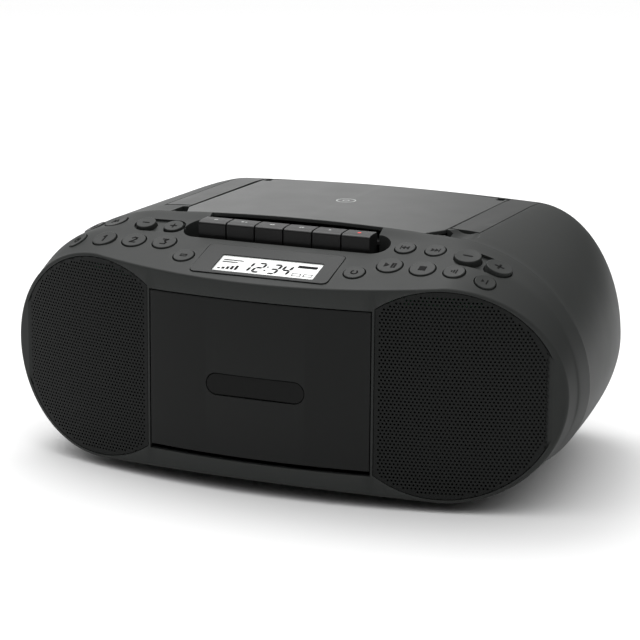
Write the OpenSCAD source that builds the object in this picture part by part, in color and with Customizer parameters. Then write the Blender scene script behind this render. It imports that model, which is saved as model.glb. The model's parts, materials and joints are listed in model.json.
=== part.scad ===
// Portable boombox: CD player under a flip-up lid, cassette deck in the front face,
// two speakers, piano keys, round buttons, folding handle and telescopic antenna.
// Millimetres. X runs along the width, -Y is the front, Z is up, the floor is z = 0.

/* [Cabinet] */
// Half of the overall width, at the seam between the two cabinet halves
half_w = 175; // [174:0.5:176]
// Height of the top surface beside the lid
top_z = 145.5; // [145:0.25:146]
// How much the top rises in the middle
crown = 2.8; // [2:0.2:3.2]
// Thickness of the moulded walls
wall = 2.6; // [2.4:0.1:2.8]

/* [Speakers] */
// Distance of each grille centre from the middle
grille_x = 107; // [106.5:0.5:107.5]
// Half width of a grille
grille_a = 61.7; // [60:0.1:62]
// Half height of a grille
grille_b = 58.6; // [57:0.1:59]
// Radius of the hole behind each driver's cone
cone_r = 33; // [31:0.5:34]

/* [Cassette deck] */
// Half width of the cassette door
door_half = 68; // [67.5:0.25:68]
// Height of the lower edge of the door
door_low = 21.3; // [21:0.1:21.6]
// Height of the upper edge of the door
door_high = 112; // [111:0.5:112]
// Distance between the two reel spindles
hub_gap = 42.5; // [42:0.5:43]

/* [CD player] */
// Radius of the round well a disc lies in
disc_well_r = 60.8; // [60.5:0.1:61]
// Half width of the lid
lid_half = 81.5; // [81:0.25:81.6]

/* [Controls] */
// Distance from one piano key to the next
key_pitch = 18; // [17.8:0.1:18]
// Gap all round a button
button_gap = 0.35; // [0.3:0.05:0.45]
// How far the buttons stand out of the panel
button_rise = 0.8; // [0.5:0.1:1]

/* [Handle and antenna] */
// Thickness of the handle's arms
handle_t = 12.5; // [11:0.5:12.5]
// Radius of the antenna's outer tube
antenna_r = 2.8; // [2.7:0.05:2.9]

/* [Hidden] */
$fn = 48;
front_y = -113;
seam_y = -47;
rear_y = 104.5;
back_y = 113;
mid_z = 67;
bow_len = 820;
ridge_z = 123;
panel_tan = 0.338;
panel_a = atan(panel_tan);
panel_end = -56;
bow_rise = panel_tan * grille_x * grille_x / bow_len;
edge = 1.6;
panel_mid = (front_y + edge + panel_end) / 2;
mid_flat = 108;
mid_rise = panel_tan * mid_flat * mid_flat / bow_len / 2;
steps = 28;

// Each ring is one section through a cabinet shell:
// [y, share of the bow, half width, top, top flat, top rise, bottom, bottom flat, bottom rise]
front_rings = [
    [front_y, 1, half_w - 2.5 - edge, ridge_z + bow_rise - edge, grille_x, -bow_rise,
     5.7 + edge, grille_x, 2.9],
    [front_y + edge, 1, half_w - 2.5, ridge_z + bow_rise, grille_x, -bow_rise, 5.7, grille_x, 2.9],
    [panel_mid, 0.5, half_w - 1.6, ridge_z + panel_tan * (panel_mid - front_y) + mid_rise, mid_flat,
     -mid_rise, 4.9, 101, 1.4],
    [panel_end, 0, half_w - 0.4, ridge_z + panel_tan * (panel_end - front_y), 93.5, 0, 4.2, 95, 0],
    [seam_y - 0.15, 0, half_w, top_z, 86, crown, 4, 95, 0]
];
rear_rings = [
    [seam_y + 0.15, 0, half_w, top_z, 86, crown, 4, 95, 0],
    [-10, 0, half_w - 3.8, top_z, 89, crown, 4, 89, 0],
    [30, 0, half_w - 9.4, top_z, 92, crown, 4, 83, 0],
    [60, 0, half_w - 15.4, top_z, 94.5, crown, 4.5, 79, 0],
    [80, 0, half_w - 20.8, top_z - 0.7, 95, crown - 0.4, 6, 75, 0],
    [93, 0, half_w - 26.5, top_z - 3.5, 95, crown / 2, 9, 70, 0],
    [100, 0, half_w - 32.5, top_z - 7.5, 94, crown / 4, 13, 66, 0],
    [rear_y, 0, half_w - 41, top_z - 14.5, 90, 0, 19, 60, 0]
];

// Speakers
driver_y = -75;
driver_r = 42;
driver_x = 110;
baffle_t = 3;

// Cassette deck
door_t = 3;
door_gap = 0.6;
door_pivot = [-104.5, 24];
hub_z = 62.6;
capstan = [-30, 86];
holder_half = 52.9;
holder_back = -91.9;
deck_y = -75;

// CD player
disc_y = 14.8;
lid_rear = 75.5;
lid_t = 2.4;
lid_axis = [73, 143.4];
tray_top = 139.7;

// Piano keys
key_x0 = -58;
key_w = key_pitch - 0.8;
key_front = -66.5;
key_back = -55;
key_axis = [-35, 124];
well_y = -62.2;
well_r = 9.4;

// Handle
arm_in = 82.9;
arm_out = 100;
arm_end = -24.5;
handle_axis = [-12, 140.5];
bar_y = 78.5;
bar_low = 118;
slot_gap = 0.6;

// Antenna
antenna_at = [108, 108.2, 106];
antenna_len = 130;

// Battery compartment and its cover
cell_half = 79;
cell_low = 28;
cell_high = 84;
cover_axis = [111.9, 25.6];

feet_at = [[-82, -66], [82, -66], [-82, 62], [82, 62]];
rear_screws = [[-112, 84], [112, 84], [-104, 36], [104, 36]];
jack_z = [60, 76];
jack_y = -25;
inlet_at = [112, 60];
board_edge = [[45, -103], [45, -76], [66, -76], [66, -62], [141, -62], [141, -79], [105, -91],
    [66, -91], [66, -103]];

// Buttons: [x, y, radius, extra rise]
power_at = [-130.3, -58.3, 6.7, 0];
radio_band_at = [-115, -59.6, 6.9, 0];
tune_down_at = [-93, -63.4, 5.8, 0.8];
tune_up_at = [-75.4, -62.8, 5.8, 0];
clock_at = [-131, -77.4, 5.8, 0];
preset_1_at = [-110.6, -82.3, 7, 0];
preset_2_at = [-91.6, -81.6, 7, 0];
preset_3_at = [-72.3, -80.7, 7, 0];
display_at = [-54.1, -92.2, 6, 0];
skip_back_at = [70, -63.1, 5.8, 0];
skip_forward_at = [88, -62.8, 5.8, 0];
repeat_at = [51.6, -92.4, 6, 0];
cd_play_at = [68.5, -82.2, 7.2, 0];
cd_stop_at = [88, -82.2, 7.2, 0];
sound_at = [106.5, -82, 6, 0];
line_in_at = [124.8, -82.7, 5.8, 0];
volume_down_at = [108.5, -66.1, 7.5, 1.2];
volume_up_at = [126.6, -66.4, 7.5, 1.2];
buttons = [power_at, radio_band_at, tune_down_at, tune_up_at, clock_at, preset_1_at, preset_2_at,
    preset_3_at, display_at, skip_back_at, skip_forward_at, repeat_at, cd_play_at, cd_stop_at,
    sound_at, line_in_at, volume_down_at, volume_up_at];

shell_grey = [0.25, 0.26, 0.25];
dark_grey = [0.13, 0.135, 0.13];
key_black = [0.1, 0.1, 0.1];
steel = [0.72, 0.73, 0.74];
brass = [0.8, 0.65, 0.35];
board_green = [0.1, 0.35, 0.2];

// ---- Surfaces ----

// Front face seen from above: a shallow bow
function bow(x) = front_y + x * x / bow_len;

// Top and bottom edge of a ring at x, for a ring that is e smaller all round
function ring_top(k, x, e = 0) =
    let (u = abs(x), flat = k[4], a = k[2] - e - flat, low = k[3] - e)
    u <= flat ? low + k[5] * (1 - pow(u / flat, 2))
        : mid_z + (low - mid_z) * sqrt(max(0, 1 - pow((u - flat) / a, 2)));
function ring_low(k, x, e = 0) =
    let (u = abs(x), flat = k[7], a = k[2] - e - flat, high = k[6] + e)
    u <= flat ? high + k[8] * (1 - pow(u / flat, 2))
        : mid_z - (mid_z - high) * sqrt(max(0, 1 - pow((u - flat) / a, 2)));
function ring_x(k, i, e) = (k[2] - e) * sin(-90 + 180 * i / steps);
function ring_y(k, x) = k[0] + k[1] * x * x / bow_len;

function ring_points(k, e, dy) = concat(
    [for (i = [0 : steps]) let (x = ring_x(k, i, e)) [x, ring_y(k, x) + dy, ring_top(k, x, e)]],
    [for (i = [steps - 1 : -1 : 1]) let (x = ring_x(k, i, e))
        [x, ring_y(k, x) + dy, ring_low(k, x, e)]]);

// Height of the control panel at (x, y), between the front ridge and the panel's back edge
function panel_z(x, y) =
    let (i = y < ring_y(front_rings[2], x) ? 1 : 2, near = front_rings[i], far = front_rings[i + 1],
         a = ring_top(near, x), b = ring_top(far, x), ya = ring_y(near, x), yb = ring_y(far, x))
    a + (b - a) * (y - ya) / (yb - ya);
function panel_normal(x, y) =
    let (n = [panel_z(x - 1, y) - panel_z(x + 1, y), panel_z(x, y - 1) - panel_z(x, y + 1), 2])
    n / norm(n);

// Half ellipse arcs for the grilles, grown by g
function ellipse_points(cx, g) = [for (t = [0 : 5 : 355])
    [cx + (grille_a + g) * cos(t), mid_z - 0.3 + (grille_b + g) * sin(t)]];

// Plan outline of a slab that follows the bow, from depth d0 to d1
function bow_slab(x0, x1, d0, d1) = concat(
    [for (i = [0 : 16]) let (x = x0 + (x1 - x0) * i / 16) [x, bow(x) + d0]],
    [for (i = [16 : -1 : 0]) let (x = x0 + (x1 - x0) * i / 16) [x, bow(x) + d1]]);

// ---- Shared shapes ----

// Solid skinned over a list of rings, e smaller all round and moved by dy at its first ring
module loft(rings, e = 0, dy_first = 0, dy_last = 0) {
    n = 2 * steps;
    last = len(rings) - 1;
    points = [for (j = [0 : last])
        each ring_points(rings[j], e, j == 0 ? dy_first : j == last ? dy_last : e * rings[j][1])];
    skin = [for (j = [0 : last - 1], i = [0 : n - 1])
        let (a = j * n + i, b = j * n + (i + 1) % n) each [[a, b + n, b], [a, a + n, b + n]]];
    function cap(s, flip) = [for (i = [0 : steps - 1])
        let (p = s + i, q = s + i + 1, r = s + n - i - 1, t = s + (n - i) % n)
        i == 0 ? (flip ? [p, r, q] : [p, q, r])
            : q == r ? (flip ? [p, t, q] : [p, q, t])
            : (flip ? [p, t, r, q] : [p, q, r, t])];
    polyhedron(points, concat(cap(0, false), skin, cap(last * n, true)), convexity = 8);
}

module box(low, high) {
    translate(low)
        cube(high - low);
}

// Cylinders along X, Y and Z from one coordinate to the other
module rod_x(x0, x1, y, z, r) {
    translate([x0, y, z])
        rotate([0, 90, 0])
            cylinder(r = r, h = x1 - x0);
}

module rod_y(x, y0, y1, z, r) {
    translate([x, y0, z])
        rotate([-90, 0, 0])
            cylinder(r = r, h = y1 - y0);
}

module rod_z(x, y, z0, z1, r) {
    translate([x, y, z0])
        cylinder(r = r, h = z1 - z0);
}

// Outline in X and Z pushed along Y from y0 to y1
module wall_of(y0, y1) {
    translate([0, y1, 0])
        rotate([90, 0, 0])
            linear_extrude(y1 - y0)
                children();
}

module stadium(half_len, r) {
    square([2 * half_len, 2 * r], center = true);
    for (s = [-1, 1])
        translate([s * half_len, 0])
            circle(r);
}

module rounded(w, h, r) {
    square([w - 2 * r, h], center = true);
    square([w, h - 2 * r], center = true);
    for (x = [-1, 1], y = [-1, 1])
        translate([x * (w / 2 - r), y * (h / 2 - r)])
            circle(r);
}

// Local frame on the sloping panel: x across, y up the slope from the ridge, z outwards
module on_panel() {
    translate([0, front_y, ridge_z])
        rotate([panel_a, 0, 0])
            children();
}

function up_slope(y) = (y - front_y) / cos(panel_a);

// Local frame of one button, z outwards from the panel's surface
module at_button(b) {
    n = panel_normal(b[0], b[1]);
    translate([b[0], b[1], panel_z(b[0], b[1])])
        rotate([0, acos(n[2]), atan2(n[1], n[0])])
            children();
}

module mirrored() {
    children();
    mirror([1, 0, 0])
        children();
}

// ---- Cabinet ----

module grille_outline(g) {
    intersection() {
        polygon(ellipse_points(grille_x, g));
        translate([door_half + 2.3 - g, 0])
            square([120, 140]);
    }
}

module front_openings() {
    mirrored() {
        intersection() {
            wall_of(front_y - 1, -60)
                grille_outline(0.3);
            linear_extrude(140)
                polygon(bow_slab(60, 174, -3, 2));
        }
        wall_of(front_y - 1, driver_y - baffle_t - 0.01)
            grille_outline(-1.5);
        intersection() {
            wall_of(front_y - 1, -60)
                grille_outline(0.3);
            linear_extrude(140)
                polygon(bow_slab(150, 174, 2, 3.6));
        }
    }
    box([-door_half - door_gap, front_y - 1, door_low - 2.7],
        [door_half + door_gap, driver_y + 1, door_high + door_gap]);
    rod_x(-door_half - door_gap, door_half + door_gap, door_pivot[0], door_pivot[1], 9.4);
}

module front_inside() {
    mirrored() {
        box([door_half + 2.3, driver_y - baffle_t, 9], [172, driver_y, 113]);
        box([door_half + door_gap, front_y, 9], [door_half + 2.3, driver_y, 113]);
    }
    translate([0, 0, 127])
        linear_extrude(30)
            translate([-4, well_y])
                stadium(54.5, well_r + 1.6);
    for (p = feet_at)
        if (p[1] < seam_y)
            rod_z(p[0], p[1], 4, 9, 9);
}

module panel_openings() {
    for (b = buttons)
        at_button(b)
            translate([0, 0, -8])
                cylinder(r = b[2] + button_gap, h = 12.6);
    translate([0, 0, 131.5])
        linear_extrude(30)
            translate([-4, well_y])
                stadium(54.5, well_r);
    box([key_x0 - 0.8, well_y - well_r + 0.4, 110],
        [key_x0 + 6 * key_pitch + 0.4, well_y + well_r - 0.4, 150]);
    on_panel() {
        translate([-1.75, up_slope(-91.75), -1.2])
            linear_extrude(8)
                rounded(85.1, 31.8, 3.6);
        translate([-32.5, up_slope(-104), -5])
            cube([65, 18, 8]);
    }
}

module front_cabinet() {
    color(shell_grey)
        difference() {
            union() {
                difference() {
                    loft(front_rings);
                    loft(front_rings, wall, wall, 1);
                }
                intersection() {
                    loft(front_rings);
                    front_inside();
                }
            }
            front_openings();
            panel_openings();
            mirrored() {
                rod_y(driver_x, -90, -70, mid_z - 0.3, cone_r + 1.5);
                rod_x(door_half, door_half + 4, door_pivot[0], door_pivot[1], 1.68);
            }
        }
}

module handle_bed() {
    mirrored() {
        box([80.7, arm_end - 2.3, 129.4], [102.2, rear_y, 150]);
        rod_x(80.7, 102.2, handle_axis[0], handle_axis[1], 17);
        box([80.7, seam_y, 135], [105, arm_end, 150]);
    }
    box([-102.2, bar_y - 1.6, bar_low - 3.2], [102.2, rear_y, 150]);
}

module handle_space() {
    mirrored() {
        box([82.3, arm_end - 0.7, 131], [100.6, back_y, 152]);
        rod_x(82.3, 100.6, handle_axis[0], handle_axis[1], 15.2);
    }
    translate([93.6, -36, 157])
        sphere(16.2);
    box([82.3, seam_y + 1.2, 140], [86, -30, 152]);
    box([-100.6, bar_y - 0.4, bar_low - 1.6], [100.6, back_y, 152]);
    box([-90, bar_y - 2, 139.5], [90, bar_y, 152]);
}

module battery_box() {
    translate([0, 0, (cell_low + cell_high) / 2 + 3])
        wall_of(100, back_y - 2)
            rounded(184, 76, 8);
    translate([0, 0, (cell_low + cell_high) / 2 + 3])
        wall_of(100, back_y)
            rounded(180, 72, 6);
    box([-cell_half - 2, 80, cell_low - 2], [cell_half + 2, 104, cell_high + 2]);
}

module battery_space() {
    box([-cell_half, 82, cell_low], [cell_half, back_y + 1, cell_high]);
    box([-84, back_y - 2.7, 24], [84, back_y + 1, 89]);
}

module rear_bosses() {
    for (p = rear_screws)
        rod_y(p[0], 86, rear_y, p[1], 5);
    for (p = feet_at)
        if (p[1] > seam_y)
            rod_z(p[0], p[1], 4, 9, 9);
    rod_y(antenna_at[0], 94, rear_y, antenna_at[2], 5);
    box([inlet_at[0] - 16, 82, inlet_at[1] - 11], [inlet_at[0] + 16, rear_y, inlet_at[1] + 11]);
}

module rear_holes() {
    for (p = rear_screws) {
        rod_y(p[0], 80, rear_y + 1, p[1], 1.7);
        rod_y(p[0], 99, rear_y + 1, p[1], 3.8);
    }
    rod_y(antenna_at[0], 95, rear_y + 1, antenna_at[2], 2.58);
    box([inlet_at[0] - 13.2, 80, inlet_at[1] - 8.7],
        [inlet_at[0] + 13.2, rear_y + 1, inlet_at[1] + 8.7]);
    for (z = jack_z)
        rod_x(-half_w - 2, -half_w + 12, jack_y, z, 4.3);
    mirrored()
        for (i = [0 : 8])
            box([104, 2 + 7 * i, 0], [136, 5 + 7 * i, 30]);
}

module rear_cabinet() {
    color(shell_grey)
        difference() {
            union() {
                difference() {
                    loft(rear_rings);
                    loft(rear_rings, wall, -1, -wall);
                }
                intersection() {
                    loft(rear_rings);
                    union() {
                        handle_bed();
                        rear_bosses();
                    }
                }
                battery_box();
            }
            battery_space();
            handle_space();
            rear_holes();
            box([-82.3, seam_y - 1, 139.5], [82.3, bar_y - 1, 152]);
            box([-80.7, seam_y - 1, 120], [80.7, bar_y - 1.6, 152]);
        }
    color(steel)
        mirrored()
            rod_x(81, 102, handle_axis[0], handle_axis[1], 2.5);
}

module grille() {
    color(dark_grey)
        intersection() {
            wall_of(front_y - 1, -60)
                grille_outline(0);
            linear_extrude(140)
                polygon(bow_slab(60, 174, 0.2, 1.9));
        }
}

module left_grille() {
    mirror([1, 0, 0])
        grille();
}

module right_grille() {
    grille();
}

// ---- Speakers ----

// Turned about a driver's own axis; the profile's y runs backwards from the baffle
module driver(side) {
    translate([side * driver_x, driver_y, mid_z - 0.3])
        rotate([-90, 0, 0])
            rotate_extrude()
                children();
}

module speaker_frame(side) {
    color(dark_grey)
        difference() {
            driver(side)
                polygon([[cone_r + 1, 0.1], [driver_r, 0.1], [driver_r, 3], [cone_r + 5, 3],
                    [25, 20], [25, 34], [12, 34], [12, 18], [23, 18], [cone_r + 1, 4.6]]);
            for (a = [0 : 60 : 300])
                translate([side * driver_x, driver_y + 11, mid_z - 0.3])
                    rotate([0, a, 0])
                        translate([24, -6, -7])
                            cube([20, 10, 14]);
            for (a = [45 : 90 : 315])
                rod_y(side * driver_x + (driver_r - 4) * cos(a), driver_y - 1, driver_y + 5,
                    mid_z - 0.3 + (driver_r - 4) * sin(a), 1.8);
        }
    color(steel)
        driver(side)
            polygon([[0, 20], [9, 20], [9, 34.2], [27, 34.2], [27, 40], [0, 40]]);
}

module speaker_cone(side) {
    color(dark_grey)
        driver(side)
            polygon([[cone_r + 0.6, 2], [cone_r - 3, 0.3], [cone_r - 5, 1.6], [11.3, 15],
                [7, 13], [0, 11.8], [0, 12.6], [7, 13.9], [10.2, 15.6], [10.2, 28],
                [10.8, 28], [10.8, 16], [cone_r - 4, 3], [cone_r - 2, 1.6], [cone_r + 0.6, 2.8]]);
}

module left_speaker_frame() {
    speaker_frame(-1);
}

module right_speaker_frame() {
    speaker_frame(1);
}

module left_speaker_cone() {
    speaker_cone(-1);
}

module right_speaker_cone() {
    speaker_cone(1);
}

// ---- Cassette deck ----

module cassette_door() {
    color(dark_grey)
        difference() {
            union() {
                translate([0, 0, door_low])
                    linear_extrude(door_high - door_low)
                        polygon(bow_slab(-door_half, door_half, 0, door_t));
                mirrored() {
                    box([door_half - 2, bow(door_half) + 1, door_low], [door_half, -100, 30]);
                    rod_x(door_half - 1, door_half + 2.2, door_pivot[0], door_pivot[1], 1.6);
                    box([holder_half + 0.1, bow(holder_half) + 1, 27], [holder_half + 2, -97, 94]);
                }
            }
            translate([0, 0, hub_z])
                wall_of(front_y - 1, -100)
                    stadium(24, 6.5);
        }
}

module cassette_window() {
    color([0.1, 0.1, 0.1, 0.8])
        translate([0, 0, hub_z]) {
            wall_of(front_y + 1.2, front_y + 4.5)
                stadium(24, 6.2);
            wall_of(front_y + 4.5, front_y + 5.4)
                stadium(25, 8.5);
        }
}

module cassette_holder() {
    color(key_black)
        difference() {
            box([-holder_half, -106.4, 26], [holder_half, holder_back, 92]);
            box([-holder_half + 1.6, -107, 27.8], [holder_half - 1.6, holder_back - 1.6, 93]);
            for (s = [-1, 1])
                translate([s * hub_gap / 2, 0, hub_z])
                    wall_of(-95, -90)
                        stadium(0.01, 9);
            box([capstan[0] - 5, -95, capstan[1] - 5], [capstan[0] + 5, -90, 93]);
        }
}

module deck_chassis() {
    color(steel)
        difference() {
            union() {
                box([-62, deck_y, 18], [62, deck_y + 2.5, 114]);
                mirrored()
                    for (z = [20, 103])
                        box([60, deck_y, z], [80, deck_y + 2.5, z + 9]);
                for (s = [-1, 1])
                    rod_y(s * hub_gap / 2, deck_y - 2, deck_y + 6, hub_z, 4);
                rod_y(capstan[0], deck_y - 4, deck_y + 4, capstan[1], 3.2);
                rod_y(capstan[0], deck_y - 4, deck_y + 1, capstan[1] + 14.6, 3);
                for (x = [-64.4, 55]) {
                    box([x, deck_y, 100], [x + 2.4, -31.5, 106]);
                    box([x, -42, 100], [x + 2.4, -31.5, 127]);
                }
            }
            for (s = [-1, 1])
                rod_y(s * hub_gap / 2, deck_y - 3, deck_y + 7, hub_z, 1.56);
            rod_y(capstan[0], deck_y - 5, deck_y + 5, capstan[1], 1.06);
            rod_y(capstan[0], deck_y - 5, deck_y + 5, capstan[1] + 14.6, 1.56);
            rod_y(36, deck_y - 5, deck_y + 5, 42, 4);
        }
    color(steel)
        rod_x(-64, 57, key_axis[0], key_axis[1], 1.5);
    color(brass) {
        box([-7.5, -104, 95], [7.5, deck_y, 106]);
        box([16, -104, 95], [25, deck_y, 104]);
    }
}

module deck_motor() {
    color(steel) {
        rod_y(36, deck_y + 2.6, deck_y + 26, 42, 15);
        rod_y(36, deck_y + 26, deck_y + 34, 42, 1);
    }
    color(brass)
        rod_y(36, deck_y + 28, deck_y + 33, 42, 4);
}

module flywheel() {
    color(steel)
        rod_y(capstan[0], -103.5, deck_y + 20, capstan[1], 1);
    color(brass)
        rod_y(capstan[0], deck_y + 8, deck_y + 15, capstan[1], 22);
}

module reel(x) {
    color(key_black) {
        rod_y(x, deck_y - 7, deck_y - 3, hub_z, 13);
        rod_y(x, -101, deck_y - 6, hub_z, 4);
        for (a = [90 : 120 : 330])
            translate([x, -99, hub_z])
                rotate([0, a, 0])
                    translate([0, 0, -0.6])
                        cube([4.9, 8, 1.2]);
    }
    color(steel)
        rod_y(x, deck_y - 5, deck_y + 7.5, hub_z, 1.5);
}

module supply_reel() {
    reel(-hub_gap / 2);
}

module takeup_reel() {
    reel(hub_gap / 2);
}

module pinch_roller() {
    color(key_black)
        rod_y(capstan[0], -104, -96, capstan[1] + 14.6, 6.5);
    color(steel)
        rod_y(capstan[0], -105, deck_y + 4, capstan[1] + 14.6, 1.5);
}

// ---- Display and boards ----

module lcd_window() {
    color([0.16, 0.17, 0.16])
        on_panel()
            translate([-1.75, up_slope(-91.75), -1.1])
                linear_extrude(1.3)
                    rounded(84.5, 31.2, 3.3);
}

module lcd_module() {
    color([0.75, 0.78, 0.75])
        on_panel()
            translate([-31.5, up_slope(-103.7), -5])
                cube([63, 17.4, 3.7]);
    color(board_green)
        on_panel()
            translate([-38, up_slope(-105), -9])
                cube([76, 22, 3.6]);
}

module control_board(side) {
    color(board_green)
        on_panel()
            translate([0, 0, -18])
                linear_extrude(1.6)
                    polygon([for (p = board_edge) [side * p[0], up_slope(p[1])]]);
}

module switch_post(b) {
    color(key_black)
        at_button(b)
            translate([0, 0, -17.5])
                cylinder(r = 2.2, h = 9.8);
}

module circuit_boards() {
    control_board(-1);
    control_board(1);
    for (b = buttons)
        switch_post(b);
    color(board_green)
        box([-78, -22, 16], [78, 70, 17.6]);
    color(steel)
        for (x = [-60, 40])
            box([x, 44, 17.6], [x + 30, 62, 38]);
    color(key_black)
        for (i = [0 : 4])
            rod_z(-60 + 24 * i, 10, 17.6, 34, 6);
}

module power_transformer() {
    color(steel)
        box([84, 22, 17], [122, 62, 53]);
    color(brass)
        box([89, 17, 22], [117, 67, 48]);
}

module mains_inlet() {
    color(key_black)
        difference() {
            box([inlet_at[0] - 13, 84, inlet_at[1] - 8.5],
                [inlet_at[0] + 13, rear_y, inlet_at[1] + 8.5]);
            translate([inlet_at[0], 0, inlet_at[1]])
                wall_of(94, rear_y + 1)
                    stadium(4.3, 4.7);
        }
    color(brass)
        for (s = [-1, 1])
            rod_y(inlet_at[0] + s * 4.3, 92, 103, inlet_at[1], 1.2);
}

// ---- Battery compartment ----

module battery_contacts() {
    color(steel)
        for (s = [-1, 1], z = [42, 70]) {
            box([s > 0 ? cell_half - 0.9 : 0.1 - cell_half, 86, z - 10],
                [s > 0 ? cell_half - 0.1 : 0.9 - cell_half, 106, z + 10]);
            rod_x(s > 0 ? cell_half - 4 : 0.9 - cell_half, s > 0 ? cell_half - 0.9 : 4 - cell_half,
                96, z, 5);
        }
}

module battery_cover() {
    color(shell_grey) {
        box([-83.5, back_y - 2.2, cover_axis[1]], [83.5, back_y, 88.4]);
        rod_x(-83.5, 83.5, cover_axis[0], cover_axis[1], 1.1);
    }
}

module side_jacks() {
    x0 = -half_w + 1.6;
    color(key_black)
        difference() {
            union() {
                for (z = jack_z)
                    rod_x(x0, x0 + 14, jack_y, z, 4);
                box([x0 + 10, jack_y - 7, jack_z[0] - 7], [x0 + 26, jack_y + 7, jack_z[1] + 7]);
            }
            for (z = jack_z)
                rod_x(x0 - 1, x0 + 18, jack_y, z, 1.85);
        }
}

// ---- CD player ----

module cd_well() {
    color(dark_grey)
        difference() {
            union() {
                box([-80, -50, tray_top - 2.2], [80, 76.6, tray_top]);
                intersection() {
                    rod_z(0, disc_y, 127.8, tray_top, disc_well_r + 1.4);
                    box([-70, -50, 120], [70, 76.6, 150]);
                }
                mirrored() {
                    box([76.3, 71.1, tray_top - 1], [79.3, 74.9, lid_axis[1]]);
                    rod_x(76.3, 79.3, lid_axis[0], lid_axis[1], 1.9);
                }
            }
            rod_z(0, disc_y, 130, 150, disc_well_r);
            rod_z(0, disc_y, 120, 150, 15);
            box([18, disc_y - 7, 120], [56, disc_y + 7, 150]);
            mirrored()
                rod_x(76, 80, lid_axis[0], lid_axis[1], 1.18);
        }
    color(steel)
        difference() {
            union() {
                box([-26, disc_y - 9, 119], [17, disc_y + 9, 121]);
                for (x = [-26, 15])
                    box([x, disc_y - 9, 119], [x + 2, disc_y + 9, 127.7]);
                rod_z(0, disc_y, 112, 121, 8);
            }
            rod_z(0, disc_y, 111, 122, 1.06);
        }
}

module cd_turntable() {
    color(key_black) {
        rod_z(0, disc_y, 127, 131, 14.4);
        translate([0, disc_y, 131])
            cylinder(r1 = 7.4, r2 = 6, h = 4);
    }
    color(steel)
        rod_z(0, disc_y, 112.5, 128, 1);
}

module cd_pickup() {
    color(key_black)
        box([20, disc_y - 6.4, 121], [32, disc_y + 6.4, 127.5]);
    color(steel)
        rod_z(26, disc_y, 127.5, 129.3, 3.2);
}

function lid_top(x) = top_z + crown * (1 - pow(x / 86, 2));

module cd_lid() {
    outline = concat(
        [for (i = [-8 : 8]) let (x = i * lid_half / 8) [x, lid_top(x)]],
        [for (i = [8 : -1 : -8]) let (x = i * lid_half / 8) [x, lid_top(x) - lid_t]]);
    color(shell_grey)
        difference() {
            union() {
                wall_of(seam_y + 0.6, lid_rear)
                    polygon(outline);
                rod_z(0, disc_y, 138, 147, 15);
                mirrored()
                    rod_x(68, 75.6, lid_axis[0], lid_axis[1], 2);
            }
            mirrored()
                box([75.6, 70, 140], [79.9, 78, 150]);
            rod_z(0, disc_y, 137, 142, 8);
            translate([0, 0, 140])
                linear_extrude(10)
                    mirrored()
                        polygon([[74.5, seam_y], [84, seam_y], [84, -30], [lid_half, -31]]);
        }
    color(shell_grey)
        mirrored()
            rod_x(75, 79.3, lid_axis[0], lid_axis[1], 1.1);
}

// ---- Handle and antenna ----

module handle() {
    color(shell_grey)
        difference() {
            intersection() {
                loft(rear_rings);
                union() {
                    mirrored()
                        box([arm_in, arm_end, top_z - handle_t], [arm_out, 90, 150]);
                    box([-arm_out, bar_y, bar_low], [arm_out, rear_y + 1, 150]);
                }
            }
            mirrored()
                rod_x(80, 104, handle_axis[0], handle_axis[1], 2.57);
            box([-96.5, 81.3, bar_low - 1], [96.5, 92, 140]);
            box([-96.5, 91, bar_low - 1], [96.5, 99.5, 131]);
        }
}

module antenna_base() {
    color(key_black) {
        difference() {
            union() {
                rod_y(antenna_at[0], rear_y + 0.4, antenna_at[1] - 2.9, antenna_at[2], 7);
                box([antenna_at[0] - 10, antenna_at[1] - 3, antenna_at[2] + 2.9],
                    [antenna_at[0] + 3, antenna_at[1] + 2.6, antenna_at[2] + 4.6]);
                box([antenna_at[0] - 10, antenna_at[1] - 3, antenna_at[2] - 4.6],
                    [antenna_at[0] + 3, antenna_at[1] + 2.6, antenna_at[2] - 2.9]);
                box([antenna_at[0] - 1, antenna_at[1] - 3, antenna_at[2] - 4.6],
                    [antenna_at[0] + 3, antenna_at[1] + 2.6, antenna_at[2] + 4.6]);
            }
            rod_z(antenna_at[0] - 6.5, antenna_at[1], antenna_at[2] - 6, antenna_at[2] + 6, 1.07);
        }
        rod_y(antenna_at[0], 95.5, rear_y + 0.5, antenna_at[2], 2.5);
    }
}

module antenna_outer_tube() {
    x0 = antenna_at[0] - 10.5 - antenna_len;
    color(steel) {
        difference() {
            rod_x(x0, x0 + antenna_len, antenna_at[1], antenna_at[2], antenna_r);
            rod_x(x0 - 1, x0 + antenna_len - 1.5, antenna_at[1], antenna_at[2], antenna_r - 0.4);
        }
        box([antenna_at[0] - 11.5, antenna_at[1] - 2.2, antenna_at[2] - 2.4],
            [antenna_at[0] - 6.5, antenna_at[1] + 2.2, antenna_at[2] + 2.4]);
        rod_z(antenna_at[0] - 6.5, antenna_at[1], antenna_at[2] - 2.4, antenna_at[2] + 2.4, 2.2);
        rod_z(antenna_at[0] - 6.5, antenna_at[1], antenna_at[2] - 4.5, antenna_at[2] + 4.5, 1);
    }
}

module antenna_middle_tube() {
    x0 = antenna_at[0] - 10.5 - antenna_len;
    color(steel)
        difference() {
            rod_x(x0 - 1, x0 + antenna_len - 3, antenna_at[1], antenna_at[2], antenna_r - 0.45);
            rod_x(x0 - 2, x0 + antenna_len - 5, antenna_at[1], antenna_at[2], antenna_r - 1.15);
        }
}

module antenna_tip() {
    x0 = antenna_at[0] - 10.5 - antenna_len;
    color(steel)
        rod_x(x0 - 5, x0 + antenna_len - 8, antenna_at[1], antenna_at[2], antenna_r - 1.2);
    color(steel)
        rod_x(x0 - 6, x0 - 1.6, antenna_at[1], antenna_at[2], antenna_r);
}

// ---- Feet and screws ----

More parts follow.
